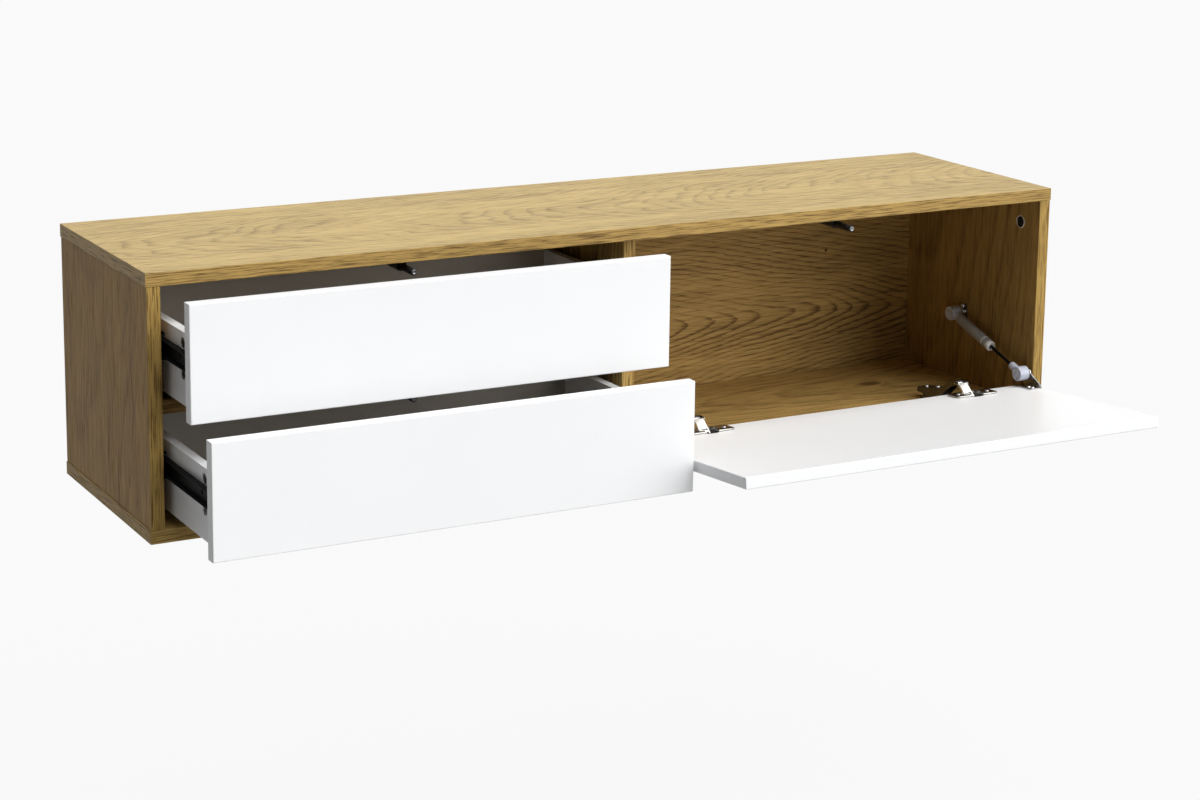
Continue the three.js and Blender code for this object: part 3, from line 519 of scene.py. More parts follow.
def plated(name, rgb, rough, drawn=0.0):
    """Plated steel: bright, with faint clouds, fine scratches and a soft press grain."""
    finish = Finish(name, Metallic=1.0)
    x, y, z = finish.axes()
    cloud = finish.noise(finish.place, 260.0, 3.0)
    scratch = finish.noise(finish.vector(x * 5200.0, y * 160.0, z * 900.0), detail=2.0)
    wear = scratch.between(0.60, 0.74)
    tint = cloud.between(0.3, 0.75)
    finish.set("Base Color", finish.mix(tint, shade_of(rgb, 0.90), shade_of(rgb, 1.05)))
    finish.set("Roughness", cloud * 0.10 + wear * 0.10 + (rough - 0.05))
    finish.bump(cloud * 0.5 + scratch * drawn, 0.00001, 0.5)
    return finish.material


def painted_barrel(name):
    """The strut's barrel: warm grey paint over drawn tube, with faint turned rings."""
    rgb = hardware().barrel
    finish = Finish(name, IOR=1.5, Metallic=0.1)
    y, z = finish.axes()[1:]
    run = y * STRUT_ALONG.y + z * STRUT_ALONG.z
    rings = finish.noise(finish.vector(run * 2400.0, 0.0, 0.0), detail=2.0)
    cloud = finish.noise(finish.place, 180.0, 3.0)
    tint = cloud * 0.6 + rings * 0.4
    finish.set("Base Color", finish.mix(tint, shade_of(rgb, 0.82), shade_of(rgb, 1.18)))
    finish.set("Roughness", cloud * 0.12 + rings * 0.08 + 0.32)
    finish.bump(rings, 0.00001, 0.6)
    return finish.material


# Each finish, which is made when a piece first asks for it
LOOKS = {
    "white": lambda: lacquer("white_lacquer"),
    "white_box": lambda: lacquer("white_drawer_box", 0.25),
    # The drawers' backs and bottoms take a warm grey that paints in the shade inside the cabinet
    "painted_shade_box": lambda: lacquer("drawer_inside_painted_shade", 0.25, PAINTED_SHADE_GREY),
    "raw": lambda: raw_board("raw_particle_board"),
    "black_steel": lambda: coated_steel("black_coated_steel"),
    "black_plastic": lambda: moulded("black_moulded_plastic", hardware().black, 0.42, 1.32),
    "satin_nickel": lambda: plated("satin_nickel", hardware().nickel, 0.40, 0.4),
    # Cups, flanges and brackets take darkened nickel, and arms and plates darker still: painted shade
    # for the dark cabinet they reflect
    "nickel_painted_dark": lambda: plated("nickel_painted_dark", hardware().shadow, 0.20),
    "nickel_painted_darker": lambda: plated("nickel_painted_darker", shade_of(hardware().shadow, 0.45), 0.24),
    "zinc": lambda: plated("zinc_plating", hardware().steel, 0.30, 0.6),
    # The latch tips take zinc at half its brightness: painted shade that dims their reflection
    "painted_shade_zinc": lambda: plated("zinc_tip_painted_shade", shade_of(hardware().steel, 0.50), 0.30, 0.6),
    "barrel": lambda: painted_barrel("grey_barrel_paint"),
    "fitting": lambda: moulded("grey_moulded_ends", hardware().fitting, 0.40),
    # The strut's rim and band: pale plastic whose bluish white also paints in a reflection
    "pale_cap_and_reflection": lambda: moulded("pale_moulded_cap_and_reflection", CAP_WHITE_AND_REFLECTION, 0.20, 2.0),
    # The carcass cams' cream ring is a painted highlight
    "rim": lambda: moulded("cam_rim_painted_highlight", RIM_HIGHLIGHT_CREAM, 0.45),
}

# Each finish that has been made, by its key
made = {}


def look(key):
    """A finish, made once."""
    if key not in made:
        made[key] = LOOKS[key]()
    return made[key]


def dress(node, material):
    """Gives a CAD node its finish."""
    NODES[node].material_slots[0].material = material


# Mesh building

# Points this near one another are one point, on a new piece and on a CAD node's faces
SAME_POINT = 1e-7
SAME_CORNER = 1e-6

# A softened edge is cut this often, where its faces bend by at least this much
EDGE_CUTS = 2
EDGE_ANGLE = math.radians(32.0)

# A rounded corner takes no more than one part in this many of the stretches beside it
CORNER_PARTS = 2.2


def finished(name, bm, key, body, replaces=(), smooth=35.0):
    """Turns a mesh into a piece that rides on a body, with its normals outward."""
    bmesh.ops.remove_doubles(bm, verts=bm.verts, dist=SAME_POINT)
    bmesh.ops.recalc_face_normals(bm, faces=bm.faces)
    mesh = bpy.data.meshes.new(name)
    bm.to_mesh(mesh)
    bm.free()
    return placed(name, mesh, key, body, replaces, smooth)


def placed(name, mesh, key, body, replaces=(), smooth=35.0):
    """Gives a mesh its finish and its body. Edges that bend by less than smooth are shaded round."""
    mesh.materials.clear()
    mesh.materials.append(look(key))
    mesh.shade_smooth()
    mesh.set_sharp_from_angle(angle=math.radians(smooth))
    piece = bpy.data.objects.new(name, mesh)
    bpy.context.scene.collection.objects.link(piece)
    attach(piece, body)
    if replaces:
        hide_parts(*replaces)
    return piece


def body_of(node):
    """The body that a CAD node belongs to."""
    return NODES[node]["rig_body"]


def softened(node, key, width):
    """A copy of a CAD node with its stamped or moulded edges rounded."""
    bm = bmesh.new()
    bm.from_mesh(NODES[node].data)
    bmesh.ops.remove_doubles(bm, verts=bm.verts, dist=SAME_CORNER)
    bmesh.ops.dissolve_limit(bm, angle_limit=math.radians(1.0), verts=bm.verts, edges=bm.edges)
    piece = finished(node + "_finished", bm, key, body_of(node), (node,), smooth=40.0)
    bevel = piece.modifiers.new("Edges", "BEVEL")
    bevel.width = width
    bevel.segments = EDGE_CUTS
    bevel.limit_method = "ANGLE"
    bevel.angle_limit = EDGE_ANGLE
    bevel.use_clamp_overlap = True
    return piece


def turning(bm, start, axis, profile, steps=48):
    """Turns a profile of (radius, run) about an axis from start into a closed shell."""
    axis = axis.normalized()
    a = axis.orthogonal().normalized()
    b = axis.cross(a)
    rings = []
    for radius, run in profile:
        middle = start + axis * run
        if radius < SAME_POINT:
            rings.append([bm.verts.new(middle)])
            continue
        rings.append(
            [
                bm.verts.new(middle + (a * math.cos(t) + b * math.sin(t)) * radius)
                for t in (math.tau * i / steps for i in range(steps))
            ]
        )
    for low, high in zip(rings, rings[1:]):
        for i in range(steps):
            j = (i + 1) % steps
            corners = [low[i % len(low)], low[j % len(low)], high[j % len(high)], high[i % len(high)]]
            bm.faces.new(list(dict.fromkeys(corners)))


def rounded(points, radius, steps=4):
    """Rounds the sharp corners of a profile of (radius, run) points."""
    out = [points[0]]
    for before, here, after in zip(points, points[1:], points[2:]):
        p, q, r = Vector(before), Vector(here), Vector(after)
        reach = min(radius, (p - q).length / CORNER_PARTS, (r - q).length / CORNER_PARTS)
        a, b = q + (p - q).normalized() * reach, q + (r - q).normalized() * reach
        for i in range(steps + 1):
            t = i / steps
            c = a * (1 - t) ** 2 + q * 2 * t * (1 - t) + b * t**2
            out.append((c.x, c.y))
    out.append(points[-1])
    return out


def turned(name, start, axis, profile, key, body, replaces=(), steps=48):
    """A piece that is one profile of (radius, run), turned about an axis."""
    bm = bmesh.new()
    turning(bm, start, axis, profile, steps)
    return finished(name, bm, key, body, replaces)


# What repeats: screws, cams and balls

# The sizes of a head, with what they are where a piece doesn't give its own
HEAD_SIZES = (
    ("Radius", 0.0036), ("Top radius", 0.003), ("Height", 0.0012),
    ("Recess length", 0.0036), ("Recess width", 0.0008), ("Recess depth", 0.0008),
)
HEAD_SIDES = 24
BALL_SIZES = (("Radius", 0.0023),)

# A Random Value node's number sockets share their names with its other ones, so they go by number
RANDOM_MAX = 3
RANDOM_RESULT = 1
SPIN_SEED = 7


def join_tree(tree, source, output, node, value):
    """Links an output of one node to an input of another."""
    tree.links.new(source.outputs[output], node.inputs[value])


def start_tree(name, sizes):
    """Geometry Nodes: a tree that takes a cloud of places and named sizes."""
    tree = bpy.data.node_groups.new(name, "GeometryNodeTree")
    face = tree.interface
    face.new_socket("Places", in_out="INPUT", socket_type="NodeSocketGeometry")
    for label, default in sizes:
        socket = face.new_socket(label, in_out="INPUT", socket_type="NodeSocketFloat")
        socket.subtype = "DISTANCE"
        socket.default_value = default
    face.new_socket("Pieces", in_out="OUTPUT", socket_type="NodeSocketGeometry")
    return tree, tree.nodes.new("NodeGroupInput")


def end_tree(tree, source, shape, material, turn=None):
    """Sets the shape on each place, makes the copies real and gives them their material."""
    spread = tree.nodes.new("GeometryNodeInstanceOnPoints")
    join_tree(tree, source, "Places", spread, "Points")
    join_tree(tree, shape, "Mesh", spread, "Instance")
    if turn is not None:
        join_tree(tree, turn, "Rotation", spread, "Rotation")
    real = tree.nodes.new("GeometryNodeRealizeInstances")
    join_tree(tree, spread, "Instances", real, "Geometry")
    paint = tree.nodes.new("GeometryNodeSetMaterial")
    paint.inputs["Material"].default_value = material
    join_tree(tree, real, "Geometry", paint, "Geometry")
    sink = tree.nodes.new("NodeGroupOutput")
    join_tree(tree, paint, "Geometry", sink, "Pieces")
    return tree


def head_tree(name, material):
    """A head with a cross recess on each point, facing along the point's aim."""
    tree, source = start_tree(name, HEAD_SIZES)
    new = tree.nodes.new
    head = new("GeometryNodeMeshCone")
    head.inputs["Vertices"].default_value = HEAD_SIDES
    join_tree(tree, source, "Top radius", head, "Radius Top")
    join_tree(tree, source, "Radius", head, "Radius Bottom")
    join_tree(tree, source, "Height", head, "Depth")
    double = new("ShaderNodeMath")
    double.operation = "MULTIPLY"
    double.inputs[1].default_value = 2.0
    join_tree(tree, source, "Recess depth", double, 0)
    lift = new("ShaderNodeCombineXYZ")
    join_tree(tree, source, "Height", lift, "Z")
    difference = new("GeometryNodeMeshBoolean")
    difference.operation = "DIFFERENCE"
    join_tree(tree, head, "Mesh", difference, "Mesh 1")
    for long_way, short_way in ("XY", "YX"):
        size = new("ShaderNodeCombineXYZ")
        join_tree(tree, source, "Recess length", size, long_way)
        join_tree(tree, source, "Recess width", size, short_way)
        join_tree(tree, double, 0, size, "Z")
        slot = new("GeometryNodeMeshCube")
        join_tree(tree, size, 0, slot, "Size")
        move = new("GeometryNodeTransform")
        join_tree(tree, slot, "Mesh", move, "Geometry")
        join_tree(tree, lift, 0, move, "Translation")
        join_tree(tree, move, "Geometry", difference, "Mesh 2")
    aim = new("GeometryNodeInputNamedAttribute")
    aim.data_type = "FLOAT_VECTOR"
    aim.inputs["Name"].default_value = "aim"
    align = new("FunctionNodeAlignRotationToVector")
    align.axis = "Z"
    join_tree(tree, aim, "Attribute", align, "Vector")
    any_turn = new("FunctionNodeRandomValue")
    any_turn.data_type = "FLOAT"
    any_turn.inputs["Min"].default_value = 0.0
    any_turn.inputs[RANDOM_MAX].default_value = math.pi / 2
    any_turn.inputs["Seed"].default_value = SPIN_SEED
    spin = new("FunctionNodeAxisAngleToRotation")
    spin.inputs["Axis"].default_value = (0, 0, 1)
    join_tree(tree, any_turn, RANDOM_RESULT, spin, "Angle")
    both = new("FunctionNodeRotateRotation")
    both.rotation_space = "LOCAL"
    join_tree(tree, align, "Rotation", both, "Rotation")
    join_tree(tree, spin, "Rotation", both, "Rotate By")
    return end_tree(tree, source, difference, material, both)


def ball_tree(name, material):
    """A ball on each point."""
    tree, source = start_tree(name, BALL_SIZES)
    ball = tree.nodes.new("GeometryNodeMeshIcoSphere")
    ball.inputs["Subdivisions"].default_value = 3
    join_tree(tree, source, "Radius", ball, "Radius")
    return end_tree(tree, source, ball, material)


def spread_out(name, tree, places, key, body, **sizes):
    """Runs a tree on a cloud of (place, aim) points and keeps the result as a plain mesh."""
    cloud = bpy.data.meshes.new(name + "_places")
    cloud.from_pydata([place for place, _ in places], [], [])
    aims = cloud.attributes.new("aim", "FLOAT_VECTOR", "POINT")
    for item, (_, aim) in zip(aims.data, places):
        item.vector = aim
    holder = bpy.data.objects.new(name + "_places", cloud)
    bpy.context.scene.collection.objects.link(holder)
    modifier = holder.modifiers.new("Spread", "NODES")
    modifier.node_group = tree
    ids = {
        item.name: item.identifier
        for item in tree.interface.items_tree
        if item.item_type == "SOCKET" and item.in_out == "INPUT"
    }
    for label, value in sizes.items():
        modifier[ids[label.replace("_", " ").capitalize()]] = value
    depsgraph = bpy.context.evaluated_depsgraph_get()
    mesh = bpy.data.meshes.new_from_object(holder.evaluated_get(depsgraph))
    mesh.name = name
    bpy.data.objects.remove(holder)
    bpy.data.meshes.remove(cloud)
    if not mesh.polygons:
        raise RuntimeError(f"{name} came out empty")
    return placed(name, mesh, key, body)


# The pieces

# Where the end grain of the top and bottom boards begins, either way from the middle
END_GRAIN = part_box("top_panel")[1].x - 0.0006

# The tone column paints light and shade into one veneer: the top is lightened and whitened for the
# sheen it catches, and the left side, right side, back and rail are darkened for the shade they stand
# in; the bottom and divider stay near the veneer's own colour
BOARDS = {
    # board: grain, across, heart, depth, taper, lines, waver, painted light tone, ior, end grain, edge
    # tone, knot
    "top_panel": ("X", "Y", -0.20, 0.045, 0.190, 0.62, 0.028, (1.15, 1.22, 1.44), 1.32, END_GRAIN),
    "bottom_panel": (
        "X", "Y", -0.13, 0.080, 0.085, 0.55, 0.014, (1.06, 1.00, 0.98), 1.24, END_GRAIN,
        EDGE_TONE, (0.536, -0.132),
    ),
    "left_side": ("Z", "Y", -0.12, 0.070, 0.050, 0.46, 0.005, (0.95, 0.83, 0.78), 1.18, None),
    "right_side": ("Z", "Y", -0.05, 0.030, 0.050, 0.80, 0.004, (0.68, 0.60, 0.54), 1.18, None),
    "middle_divider": ("Z", "Y", -0.22, 0.080, 0.100, 0.50, 0.010, 1.00, 1.24, None),
    "middle_rail": (
        # The rail's face and narrow edge are darkened: painted shade from the drawer above
        "X", "Y", -0.40, 0.080, 0.080, 0.40, 0.010, (0.42, 0.38, 0.36), 1.10, None,
        (0.50, 0.45, 0.43),
    ),
    "back_panel": ("X", "Z", -0.108, 0.030, -0.170, 1.05, 0.022, (0.90, 0.83, 0.78), 1.22, None),
}


class Step:
    """What the operators share."""

    bl_options = {"REGISTER"}

    def execute(self, context):
        self.build(context.scene)
        return {"FINISHED"}


class CONSOLE_OT_boards(Step, bpy.types.Operator):
    """Veneer the seven boards, each with its own run of grain"""

    bl_idname = "console.boards"
    bl_label = "Oak boards"

    def build(self, scene):
        for node, cut in BOARDS.items():
            dress(node, oak("oak_" + node, *cut))


# The cleat's screws: where along it, how far under its top edge and how deep in its inner face
CLEAT_SCREWS = (-0.62, -0.37, -0.12, 0.12, 0.37, 0.62)
CLEAT_SCREW_UNDER = 0.035
CLEAT_SCREW_SUNK = 0.0012


class CONSOLE_OT_hanging(Step, bpy.types.Operator):
    """Finish the cleats and the spacer, and sink the cleat's screws"""

    bl_idname = "console.hanging"
    bl_label = "Wall hanging"

    def build(self, scene):
        for node in ("cabinet_cleat", "wall_cleat", "lower_spacer"):
            dress(node, look("raw"))
        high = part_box("cabinet_cleat")[1]
        y, z = high.y - CLEAT_SCREW_SUNK, high.z - CLEAT_SCREW_UNDER
        places = [(Vector((x, y, z)), INWARD) for x in CLEAT_SCREWS]
        spread_out(
            "cleat_screws", head_tree("Cleat screws", look("zinc")), places, "zinc", "carcass",
            radius=0.0038, top_radius=0.0042, height=0.0013, recess_length=0.0044,
        )


# A drawer's cams, from the outer face, the front end and the foot of the side that holds them
CAM_IN = 0.0089
CAM_BEHIND = 0.0337
CAM_UP = (0.079, 0.040)


class CONSOLE_OT_drawers(Step, bpy.types.Operator):
    """Lacquer the drawer fronts and boxes, and set their cams"""

    bl_idname = "console.drawers"
    bl_label = "Drawers"

    def build(self, scene):
        tree = head_tree("Drawer cams", look("black_plastic"))
        for level in LEVELS:
            prefix = level + "_drawer_"
            dress(prefix + "front", look("white"))
            for part in ("left_side", "right_side"):
                dress(prefix + part, look("white_box"))
            # Backs and bottoms are lacquered grey: painted shade for the dark inside of the drawer
            for part in ("back", "bottom"):
                dress(prefix + part, look("painted_shade_box"))
            places = []
            for part, way in (("left_side", 1), ("right_side", -1)):
                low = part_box(prefix + part)[0]
                x = side_x(prefix + part, -way) + way * CAM_IN
                for up in CAM_UP:
                    place = Vector((x, low.y + CAM_BEHIND, low.z + up))
                    places.append((place, Vector((-way, 0, 0))))
            spread_out(
                prefix + "cams", tree, places, "black_plastic", level + "_drawer",
                radius=0.0073, top_radius=0.0071, height=0.0083,
                recess_length=0.0085, recess_width=0.0017, recess_depth=0.0030,
            )


# The slides' sheet, how far their screws are from a member's ends, and the balls: how far in the
# cage, how far above and below its middle, and how far apart along it
SLIDE_SHEET = 0.0012
SLIDE_SCREW_END = 0.037
BALL_IN = 0.0022
BALL_ROWS = (-0.0136, 0.0136)
BALL_SPACING = 0.027
BALLS_IN_ROW = 4


def slide_screws(member, x):
    """The places of a slide member's two screws, in a plane across the cabinet."""
    low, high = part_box(member)
    z = (low.z + high.z) / 2
    return [Vector((x, y, z)) for y in (low.y + SLIDE_SCREW_END, high.y - SLIDE_SCREW_END)]


class CONSOLE_OT_slides(Step, bpy.types.Operator):
    """Round the slide members' edges, and add their screws and balls"""

    bl_idname = "console.slides"
    bl_label = "Ball slides"

    def build(self, scene):
        heads = head_tree("Slide screws", look("black_steel"))
        balls = ball_tree("Slide balls", look("zinc"))
        for level in LEVELS:
            on_drawer, on_cabinet, rolling = [], [], []
            for hand, way in (("left", 1), ("right", -1)):
                inner, outer = f"{level}_{hand}_inner_slide", f"{level}_{hand}_outer_slide"
                cage = f"{level}_{hand}_slide_cage"
                softened(inner, "black_steel", scene.console_hardware.edge)
                softened(outer, "black_steel", scene.console_hardware.edge)
                dress(cage, look("zinc"))
                aim = Vector((way, 0, 0))
                x = side_x(inner, way) - way * SLIDE_SHEET
                on_drawer += [(place, -aim) for place in slide_screws(inner, x)]
                x = side_x(outer, -way) + way * SLIDE_SHEET
                on_cabinet += [(place, aim) for place in slide_screws(outer, x)]
                start = centre(cage)
                start.x = side_x(cage, way) - way * BALL_IN
                start.y -= BALL_SPACING * (BALLS_IN_ROW - 1) / 2
                for row in BALL_ROWS:
                    for i in range(BALLS_IN_ROW):
                        rolling.append((start + Vector((0, i * BALL_SPACING, row)), aim))
            spread_out(
                level + "_drawer_slide_screws", heads, on_drawer, "black_steel", level + "_drawer",
                radius=0.0034, top_radius=0.0029, height=0.0013,
            )
            spread_out(
                level + "_cabinet_slide_screws", heads, on_cabinet, "black_steel", "carcass",
                radius=0.0034, top_radius=0.0031, height=0.0007, recess_depth=0.0005,
            )
            spread_out(
                level + "_slide_balls", balls, rolling, "zinc", level + "_cages", radius=0.0023
            )


def round_node(node):
    """Where a round CAD node that lies along Y starts, its radius and its run."""
    low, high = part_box(node)
    start = centre(node)
    start.y = low.y
    return start, (high.x - low.x) / 2, high.y - low.y


# How far the edges of latch housings and cams are rounded
MOULDED_EDGE = 0.0004


class CONSOLE_OT_latches(Step, bpy.types.Operator):
    """Turn the push latches' plungers and tips, and soften their housings"""

    bl_idname = "console.latches"
    bl_label = "Push latches"

    def build(self, scene):
        for name in ("upper", "lower", "flap"):
            softened(name + "_latch_housing", "black_plastic", MOULDED_EDGE)
            node = name + "_latch_plunger"
            start, radius, run = round_node(node)
            profile = [
                (0, 0.0023), (0.0035, 0.0023), (0.0035, 0), (radius - 0.0009, 0), (radius, 0.0009),
                (radius, 0.0062), (radius - 0.0004, 0.0066), (radius - 0.0004, 0.0078),
                (radius, 0.0082), (radius, run), (0, run),
            ]
            turned(
                node + "_finished", start, INWARD, rounded(profile, 0.0003), "black_plastic",
                name + "_plunger", (node,),
            )
            node = name + "_latch_tip"
            start, radius, run = round_node(node)
            profile = [
                (0, 0.0022), (0.0011, 0.0022), (0.0012, 0.0007), (0.0019, 0.0001), (0.0022, 0),
                (radius, 0), (radius, run), (0, run),
            ]
            # The tip's zinc is darkened: painted shade that dims its reflection
            turned(
                node + "_finished", start, INWARD, rounded(profile, 0.00025), "painted_shade_zinc",
                name + "_plunger", (node,),
            )


class CONSOLE_OT_flap(Step, bpy.types.Operator):
    """Lacquer the flap"""

    bl_idname = "console.flap"
    bl_label = "Flap"

    def build(self, scene):
        dress("flap_panel", look("white"))


# The cup's middle along the flap, and the top of its flange above the flap's inner face
CUP_ALONG = 0.02175
FLANGE_TOP = 0.0029


def cup_flange(name, x):
    """A hinge cup's flange: a stamped wing on each side of the mouth, clear of the arm between."""
    # Half its length along the flap, its reach across it and its corners' radius
    half = 0.0145
    reach = 0.0368
    corner = 0.005
    # The mouth's radius, and where the wing stops beside the arm, along the flap and across it
    mouth = 0.0165
    front = 0.0070
    inner = 0.0099
    # A wing's middle, each level's height and its share of the outline, and the steps of the arcs
    waist = 0.023
    levels = ((0.00002, 0.93), (0.0008, 0.94), (0.0011, 1.0), (FLANGE_TOP, 1.0))
    mouth_steps = 10
    corner_steps = 5
    low_turn, high_turn = -math.asin(half / mouth), math.asin(front / mouth)
    wing = []
    for i in range(mouth_steps + 1):
        t = low_turn + (high_turn - low_turn) * i / mouth_steps
        wing.append((mouth * math.cos(t), mouth * math.sin(t)))
    wing += [(inner, front), (inner, half)]
    for side in (1, -1):
        for i in range(corner_steps + 1):
            t = math.radians(90 * i / corner_steps)
            across, out = (math.cos(t), math.sin(t)) if side > 0 else (math.sin(t), math.cos(t))
            wing.append((reach - corner + corner * out, side * (half - corner + corner * across)))
    bm = bmesh.new()
    tops = []
    for way in (-1, 1):
        rows = []
        for above, part in levels:
            outline = [(x + way * (waist + (a - waist) * part), CUP_ALONG + b * part) for a, b in wing]
            rows.append([bm.verts.new(on_flap(across, along, above)) for across, along in outline])
        tops += rows[-1]
        bm.faces.new(rows[0])
        bm.faces.new(rows[-1])
        for low, high in zip(rows, rows[1:]):
            for i in range(len(wing)):
                j = (i + 1) % len(wing)
                bm.faces.new((low[i], low[j], high[j], high[i]))
    edges = [e for e in bm.edges if e.verts[0] in tops and e.verts[1] in tops]
    bmesh.ops.bevel(bm, geom=edges, offset=0.0005, segments=3, profile=0.5, affect="EDGES")
    # The flange takes darkened nickel: painted shade for the dark cabinet it reflects
    finished(name, bm, "nickel_painted_dark", "flap", smooth=50.0)


# A hinge's screws: on the cup's flange either side of its middle, on the plate's wings, and down
# through the arm with their aims. The last two kinds are from the middle of the plate's low
# front edge.
CUP_SCREW = 0.026
WING_SCREW = (0.017, 0.032, 0.0016)
ARM_SCREWS = (((0, 0.062, 0.0183), (0, 0.179, 0.984)), ((0, 0.034, 0.0238), (0, 0.204, 0.979)))

# The links' edges, against the other stampings'
LINK_EDGE = 0.7


class CONSOLE_OT_hinges(Step, bpy.types.Operator):
    """Round the concealed hinges' stampings and drive their screws"""

    bl_idname = "console.hinges"
    bl_label = "Concealed hinges"

    def build(self, scene):
        fittings = scene.console_hardware
        tree = head_tree("Hinge screws", look("zinc"))
        on_leaf, on_carcass = [], []
        for hand in ("left", "right"):
            # Cups, arms and plates take darkened nickel, painted shade for the dark cabinet they
            # reflect
            softened(f"{hand}_hinge_cup", "nickel_painted_dark", fittings.edge)
            for part in ("arm", "plate"):
                softened(f"{hand}_hinge_{part}", "nickel_painted_darker", fittings.edge)
            for part in ("outer", "inner"):
                softened(f"{hand}_{part}_link", "satin_nickel", fittings.edge * LINK_EDGE)
            x = centre(f"{hand}_hinge_cup").x
            cup_flange(f"{hand}_cup_flange", x)
            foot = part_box(f"{hand}_hinge_plate")[0]
            foot.x = x
            across, inward, up = WING_SCREW
            for way in (-1, 1):
                on_leaf.append((on_flap(x + way * CUP_SCREW, CUP_ALONG, FLANGE_TOP), FLAP_UP))
                on_carcass.append((foot + Vector((way * across, inward, up)), UPWARD))
            on_carcass += [(foot + Vector(place), Vector(aim)) for place, aim in ARM_SCREWS]
        sizes = {"radius": fittings.head_radius, "height": fittings.head_height}
        spread_out("hinge_cup_screws", tree, on_leaf, "zinc", "flap", **sizes)
        spread_out("hinge_arm_screws", tree, on_carcass, "zinc", "carcass", **sizes)


# The strut's ends: half a drum's width, its radius, and its neck's radius
DRUM_HALF = 0.0085
DRUM_RADIUS = 0.0108
NECK_RADIUS = 0.0060

# How far the rod starts in the barrel and how far it ends before the foot's pivot
ROD_START = 0.072
ROD_SHORT = 0.0183
ROD_RADIUS = 0.0022

# The strut's screws: the side bracket's sheet and where they are above its pivot, and on the flap
# where they are along it, above it and across from the pivot
BRACKET_SHEET = 0.0015
SIDE_SCREWS = (-0.0094, 0.0094)
LEAF_SCREWS = (0.0290, 0.0380)
LEAF_TOP = 0.0018
LEAF_ACROSS = 0.0021

# How many sides the strut's drums and barrel have, and its rod
STRUT_STEPS = 64
ROD_STEPS = 40


def strut_end(node, pivot, neck_from, neck_to):
    """A moulded end of the strut: a dished drum across it and a neck along it."""
    side = [
        (0, 0.0013), (0.0024, 0.0013), (0.0028, 0.0008), (0.0076, 0.0008), (0.0080, 0),
        (DRUM_RADIUS - 0.0006, 0), (DRUM_RADIUS, 0.0006),
    ]
    far = [(radius, 2 * DRUM_HALF - run) for radius, run in reversed(side)]
    neck = [(0, neck_from), (NECK_RADIUS, neck_from), (NECK_RADIUS, neck_to), (0, neck_to)]
    start = pivot - Vector((DRUM_HALF, 0, 0))
    bm = bmesh.new()
    turning(bm, start, Vector((1, 0, 0)), rounded(side + far, 0.0004), STRUT_STEPS)
    turning(bm, pivot, STRUT_ALONG, rounded(neck, 0.0005))
    finished(node + "_finished", bm, "fitting", body_of(node), (node,))


class CONSOLE_OT_strut(Step, bpy.types.Operator):
    """Build the damper strut's ends, barrel and rod, and soften its brackets"""

    bl_idname = "console.strut"
    bl_label = "Damper strut"

    def build(self, scene):
        strut_end("strut_upper_fitting", STRUT_TOP, neck_from=0.0, neck_to=0.017)
        strut_end("strut_lower_fitting", STRUT_FOOT, neck_from=-0.024, neck_to=0.0)
        barrel = [
            (0, 0.0172), (0.0073, 0.0172), (0.0079, 0.0180), (0.0079, 0.0855), (0.0073, 0.0862),
            (0.0073, 0.0872), (0.0079, 0.0879), (0.0079, 0.0968), (0.0072, 0.0974), (0, 0.0974),
        ]
        turned(
            "strut_barrel_finished", STRUT_TOP, STRUT_ALONG, rounded(barrel, 0.0004), "barrel",
            "strut_barrel", ("strut_barrel",), STRUT_STEPS,
        )
        rim = [
            (0.0028, 0.0970), (0.0075, 0.0970), (0.0079, 0.0976), (0.0079, 0.1031),
            (0.0070, 0.1040), (0.0034, 0.1040), (0.0028, 0.1034), (0.0028, 0.0970),
        ]
        band = [
            (0.0072, 0.0860), (0.0078, 0.0862), (0.0078, 0.0872), (0.0072, 0.0874), (0.0072, 0.0860),
        ]
        # Rim and band are pale, with a painted reflection of the studio in their bluish white
        for name, profile in (("strut_barrel_rim", rim), ("strut_barrel_band", band)):
            turned(
                name, STRUT_TOP, STRUT_ALONG, profile, "pale_cap_and_reflection", "strut_barrel", (), STRUT_STEPS
            )
        end = STRUT_SPAN - ROD_SHORT
        rod = [(0, ROD_START), (ROD_RADIUS, ROD_START), (ROD_RADIUS, end), (0, end)]
        turned(
            "strut_rod_finished", STRUT_TOP, STRUT_ALONG, rounded(rod, 0.0003), "black_steel",
            "strut_rod", ("strut_rod",), ROD_STEPS,
        )
        # The brackets take darkened nickel: painted shade for the dark cabinet they reflect
        for node in ("strut_side_bracket", "strut_flap_bracket"):
            softened(node, "nickel_painted_dark", scene.console_hardware.edge)
        tree = head_tree("Strut screws", look("zinc"))
        sizes = {"radius": 0.0032, "top_radius": 0.0026, "height": 0.0012}
        x = side_x("strut_side_bracket", 1) - BRACKET_SHEET
        pivot = Vector((x, STRUT_TOP.y, STRUT_TOP.z))
        on_side = [(pivot + up * UPWARD, Vector((-1, 0, 0))) for up in SIDE_SCREWS]
        spread_out("strut_side_screws", tree, on_side, "zinc", "carcass", **sizes)
        x = STRUT_TOP.x + LEAF_ACROSS
        on_leaf = [(on_flap(x, along, LEAF_TOP), FLAP_UP) for along in LEAF_SCREWS]
        spread_out("strut_flap_screws", tree, on_leaf, "zinc", "flap", **sizes)


# How far the cream ring of a carcass cam, a painted highlight where light catches its edge, starts
# inside the board's face
RIM_SUNK = 0.0004


